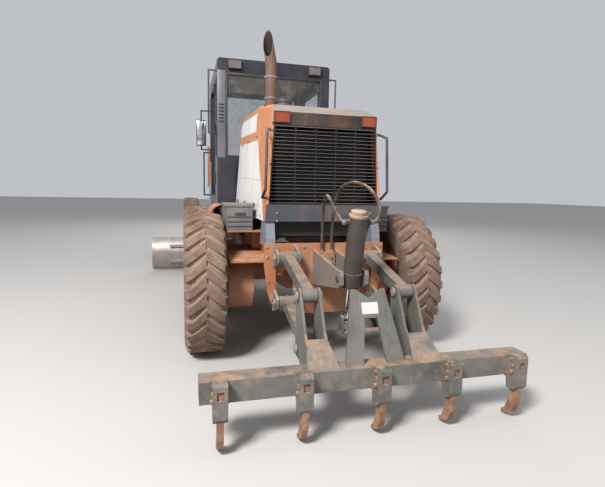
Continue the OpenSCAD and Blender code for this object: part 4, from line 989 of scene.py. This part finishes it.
def add_ripper_fittings():
    pins = Piece("ripper_pins", "ripper_beam", "worn_steel")
    for z in (0.86, 0.86 - 0.39):
        for side in (-1, 1):
            pins.lathe([(0.035, -0.001), (0.035, 0.009), (0.031, 0.012)],
                       facing(at(LINK_X + side * 0.086, LINK_BACK, z), (side, 0, 0)), 24)
            pins.bolt(at(LINK_X + side * 0.098, LINK_BACK, z), (side, 0, 0), 0.009, 0.006)
    pins.done(mirror_x=True)
    wedges = Piece("shank_wedges", "ripper_beam", "rusty_steel")
    for x in SHANKS:
        for side in (-1, 1):
            wedges.lathe([(0.015, 0.0), (0.015, 0.012), (0.010, 0.016)],
                         facing(at(x + side * 0.044, -2.712, 0.365), (side, 0, 0)), 16)
            wedges.bolt(at(x + side * 0.044, -2.70, 0.455), (side, 0, 0), 0.010, 0.007)
        wedges.box(at(x - 0.05, -2.727, 0.400), at(x + 0.05, -2.700, 0.425), chamfer=0.004)
    wedges.done()
    welds = Piece("beam_welds", "ripper_beam", "ripper_paint")
    beads = []
    for x in SHANKS:
        for side in (-1, 1):
            beads.append([at(x + side * 0.046, -2.662, 0.328 + 0.022 * k) for k in range(7)])
            beads.append([at(x + side * 0.046, -2.665 + 0.018 * k, 0.467) for k in range(3)])
    for x in (0.295, 0.315, 0.435, 0.455):
        beads.append([at(x, -2.60 + 0.03 * k, 0.467) for k in range(3)])
    for side in (-1, 1):
        beads.append([at(side * (0.09 + 0.025 * k), -2.613, 0.467) for k in range(6)])
    for bead in beads:
        welds.sweep(bead, 0.005)
    welds.done()
    caps = Piece("beam_end_caps", "ripper_beam", "ripper_paint")
    for side in (-1, 1):
        low, high = sorted((side * 1.1585, side * 1.1595))
        caps.box(at(low, TOOL_Y + 0.012, TOOL_Z + 0.012),
                 at(high, TOOL_Y + TOOL_D - 0.012, TOOL_Z + TOOL_H - 0.012))
    caps.done()
    sticker = Piece("mast_sticker", "ripper_beam", "label_white")
    mast = upright(0, -2.61, 0.461) @ Matrix.Rotation(math.radians(-21.7), 4, "X")
    sticker.box((-0.060, -0.0012, 0.338), (0.060, 0.0005, 0.418), mast)
    sticker.done()
    ports = Piece("barrel_ports", "ripper_barrel", "grey_steel")
    for side in (-1, 1):
        ports.lathe([(0.021, 0.0), (0.021, 0.020), (0.017, 0.024)],
                    facing(at(side * PORT_X, PORT_Y, PORT_Z), (side, 0, 0)), 6)
    ports.done()
    top = at(*TRUNNION)
    down = (at(*ROD_EYE) - top).normalized()
    cap = Piece("barrel_cap", "ripper_barrel", "dust_cap")
    cap.lathe([(0.0575, 0.501), (0.0585, 0.503), (0.0585, 0.529), (0.052, 0.5315)], facing(top, -down), 32)
    cap.lathe([(0.0705, 0.482), (0.0712, 0.484), (0.0712, 0.5005), (0.062, 0.5015)], facing(top, -down), 32)
    cap.done()
    gland = Piece("barrel_gland", "ripper_barrel", "worn_steel")
    mouth = facing(top, down)
    gland.lathe([(0.060, 0.066), (0.060, 0.074), (0.034, 0.079), (0.0308, 0.079)], mouth, 32)
    for a in turns(6):
        gland.bolt(mouth @ Vector(around(0.048, a, 0.0)) + down * 0.074, down, 0.006, 0.005)
    gland.done()
    for name, body, ends in (("link_nipples", "ripper_upper_links", ((LINK_FRONT, 1.085), (LINK_BACK, 0.91))),
                             ("lower_link_nipples", "ripper_lower_links", ((LINK_FRONT, 0.695),))):
        nipples = Piece(name, body, "worn_steel")
        for y, z in ends:
            nipples.lathe([(0.006, -0.002), (0.006, 0.006), (0.003, 0.012)], upright(LINK_X, y, z), 8)
        nipples.done(mirror_x=True)


def smooth_path(points, parts=6):
    """Points on a curve that passes through all the given ones."""
    pts = [Vector(p) for p in points]
    out = []
    for i in range(len(pts) - 1):
        a, b, c, d = pts[max(i - 1, 0)], pts[i], pts[i + 1], pts[min(i + 2, len(pts) - 1)]
        for k in range(parts):
            t = k / parts
            out.append(0.5 * ((2 * b) + (c - a) * t + (2 * a - 5 * b + 4 * c - d) * t * t
                              + (3 * b - a - 3 * c + d) * t ** 3))
    return out + [pts[-1]]


# From the valve block up, over and down to the ports of the barrel
HOSES = {
    "left": [(-0.045, -1.478, 1.0643), (-0.045, -1.478, 1.160), (-0.055, -1.510, 1.330),
             (-0.072, -1.580, 1.460), (-0.096, -1.690, 1.540), (-0.118, -1.810, 1.570),
             (-0.130, -1.930, 1.545), (-0.134, -2.040, 1.490), (-0.130, -2.130, 1.430),
             (-0.126, -2.180, 1.398), (-0.112, PORT_Y, PORT_Z), (-0.0963, PORT_Y, PORT_Z)],
    "right": [(0.045, -1.478, 1.0643), (0.045, -1.478, 1.200), (0.044, -1.510, 1.420),
              (0.048, -1.590, 1.570), (0.062, -1.720, 1.655), (0.090, -1.870, 1.680),
              (0.130, -2.000, 1.655), (0.165, -2.100, 1.590), (0.180, -2.170, 1.500),
              (0.165, -2.195, 1.425), (0.135, PORT_Y, 1.390), (0.112, PORT_Y, PORT_Z),
              (0.0963, PORT_Y, PORT_Z)],
}


def add_hoses():
    """The ripper cylinder's two hoses, each a cord of its own length."""
    for name, route in HOSES.items():
        path = smooth_path([at(*p) for p in route])
        hose = Piece(f"hose_{name}", "rear", "hose_rubber", "hose_rubber")
        hose.sweep(path, 0.013, 12)
        hose = hose.done(60)
        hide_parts(f"ripper_hose_{name}")


# Front half


def add_front_fittings():
    pipes = Piece("frame_pipes", "front", "black_steel")
    for dz in (0.0, 0.03, 0.06):
        pipes.sweep([at(-0.149, y, z + dz) for y, z in ((3.66, 1.60), (4.4, 1.575), (5.2, 1.50))], 0.008, 8)
    for y, z in ((3.9, 1.592), (4.6, 1.556), (5.1, 1.509)):
        pipes.box(at(-0.162, y - 0.015, z - 0.02), at(-0.1395, y + 0.015, z + 0.085), chamfer=0.003)
    pipes.done()
    bolts = Piece("saddle_bolts", "front", "worn_steel")
    for y in (3.49, 3.61):
        for z in (1.56, 1.88):
            bolts.bolt(at(0.16, y, z), RIGHTWARD, 0.013, 0.009)
    for y in (6.15, 6.27):
        bolts.bolt(at(0.14, y, 1.32), RIGHTWARD, 0.012, 0.009)
    bolts.done(mirror_x=True)
    bezels = Piece("head_lamp_bezels", "front", "black_plastic")
    frame_ring(bezels, (0.296, 6.045, 1.367), (0.444, 6.064, 1.504), 1, 0.012, 0.002)
    bezels.done(mirror_x=True)
    edge = Piece("edge_bolts", "blade", "worn_steel")
    for i in range(16):
        edge.bolt(at(-1.725 + 0.23 * i, 3.6673, 0.1052), (0, 0.797, 0.604), 0.012, 0.006)
    edge.done()
    bits = Piece("end_bits", "blade", "blade_steel")
    for side in (-1, 1):
        low, high = sorted((side * 1.68, side * 1.829))
        section = ((3.631, 0.150), (3.641, 0.157), (3.731, 0.038), (3.722, 0.0305))
        bits.solid([at(x, y, z) for x in (low, high) for y, z in section])
    bits.done()
    glands = Piece("lift_glands", "lift_barrels", "worn_steel")
    for profile in (((0.0558, -0.121), (0.060, -0.119), (0.060, -0.085), (0.0558, -0.083)),
                    ((0.0558, 0.62), (0.059, 0.622), (0.059, 0.648), (0.0558, 0.6495))):
        glands.lathe(profile, upright(0.73, 3.55, 1.75), 32, closed=True)
    glands.done(mirror_x=True)
    for side, sign in SIDES.items():
        cap = Piece(f"king_cap_{side}", f"lean_{side}", "worn_steel")
        for x in (0.77, 0.83):
            for y in (-0.02, 0.02):
                cap.bolt(at(sign * x, WHEEL_BASE + y, 0.945), (0, 0, 1), 0.007, 0.005)
        cap.done()
    shoes = Piece("shoe_bolts", "drawbar", "worn_steel")
    for a in (50, 130, 230, 310):
        c, s = math.cos(math.radians(a)), math.sin(math.radians(a))
        for t in (-0.035, 0.035):
            shoes.bolt(at(0.745 * c - t * s, 3.72 + 0.745 * s + t * c, 0.765), (c, s, 0), 0.011, 0.008)
    shoes.done()


add_hood_fittings()
add_cab_fittings()
add_seat()
add_wheel_fittings()
add_rear_fittings()
add_ripper_fittings()
add_hoses()
add_front_fittings()

# Light and floor


def add_stage():
    floor = bpy.data.objects.new("floor", bpy.data.meshes.new("floor"))
    plane = bmesh.new()
    bmesh.ops.create_grid(plane, x_segments=1, y_segments=1, size=60)
    plane.to_mesh(floor.data)
    plane.free()
    scene.collection.objects.link(floor)
    look = Look("floor", 0.9)
    look.set("Base Color", (0.45, 0.43, 0.41))
    floor.data.materials.append(look.mat)
    world = bpy.data.worlds.new("world")
    world.use_nodes = True
    background = world.node_tree.nodes["Background"]
    background.inputs["Color"].default_value = (0.86, 0.90, 0.96, 1)
    background.inputs["Strength"].default_value = 0.6
    scene.world = world
    for name, power, size, spot, aim in (
            ("key", 2500, 2.5, at(-6, -8, 9), at(0, -1, 1)),
            ("fill", 160, 9, at(9, -4, 6), at(0, 0, 1)),
            ("front", 600, 9, at(3, 13, 8), at(0, 3, 1))):
        data = bpy.data.lights.new(name, "AREA")
        data.energy = power
        data.size = size
        lamp = bpy.data.objects.new(name, data)
        lamp.location = spot
        lamp.rotation_euler = (aim - spot).to_track_quat("-Z", "Y").to_euler()
        scene.collection.objects.link(lamp)


add_stage()
scene.view_settings.view_transform = "Standard"


bpy.context.view_layer.update()
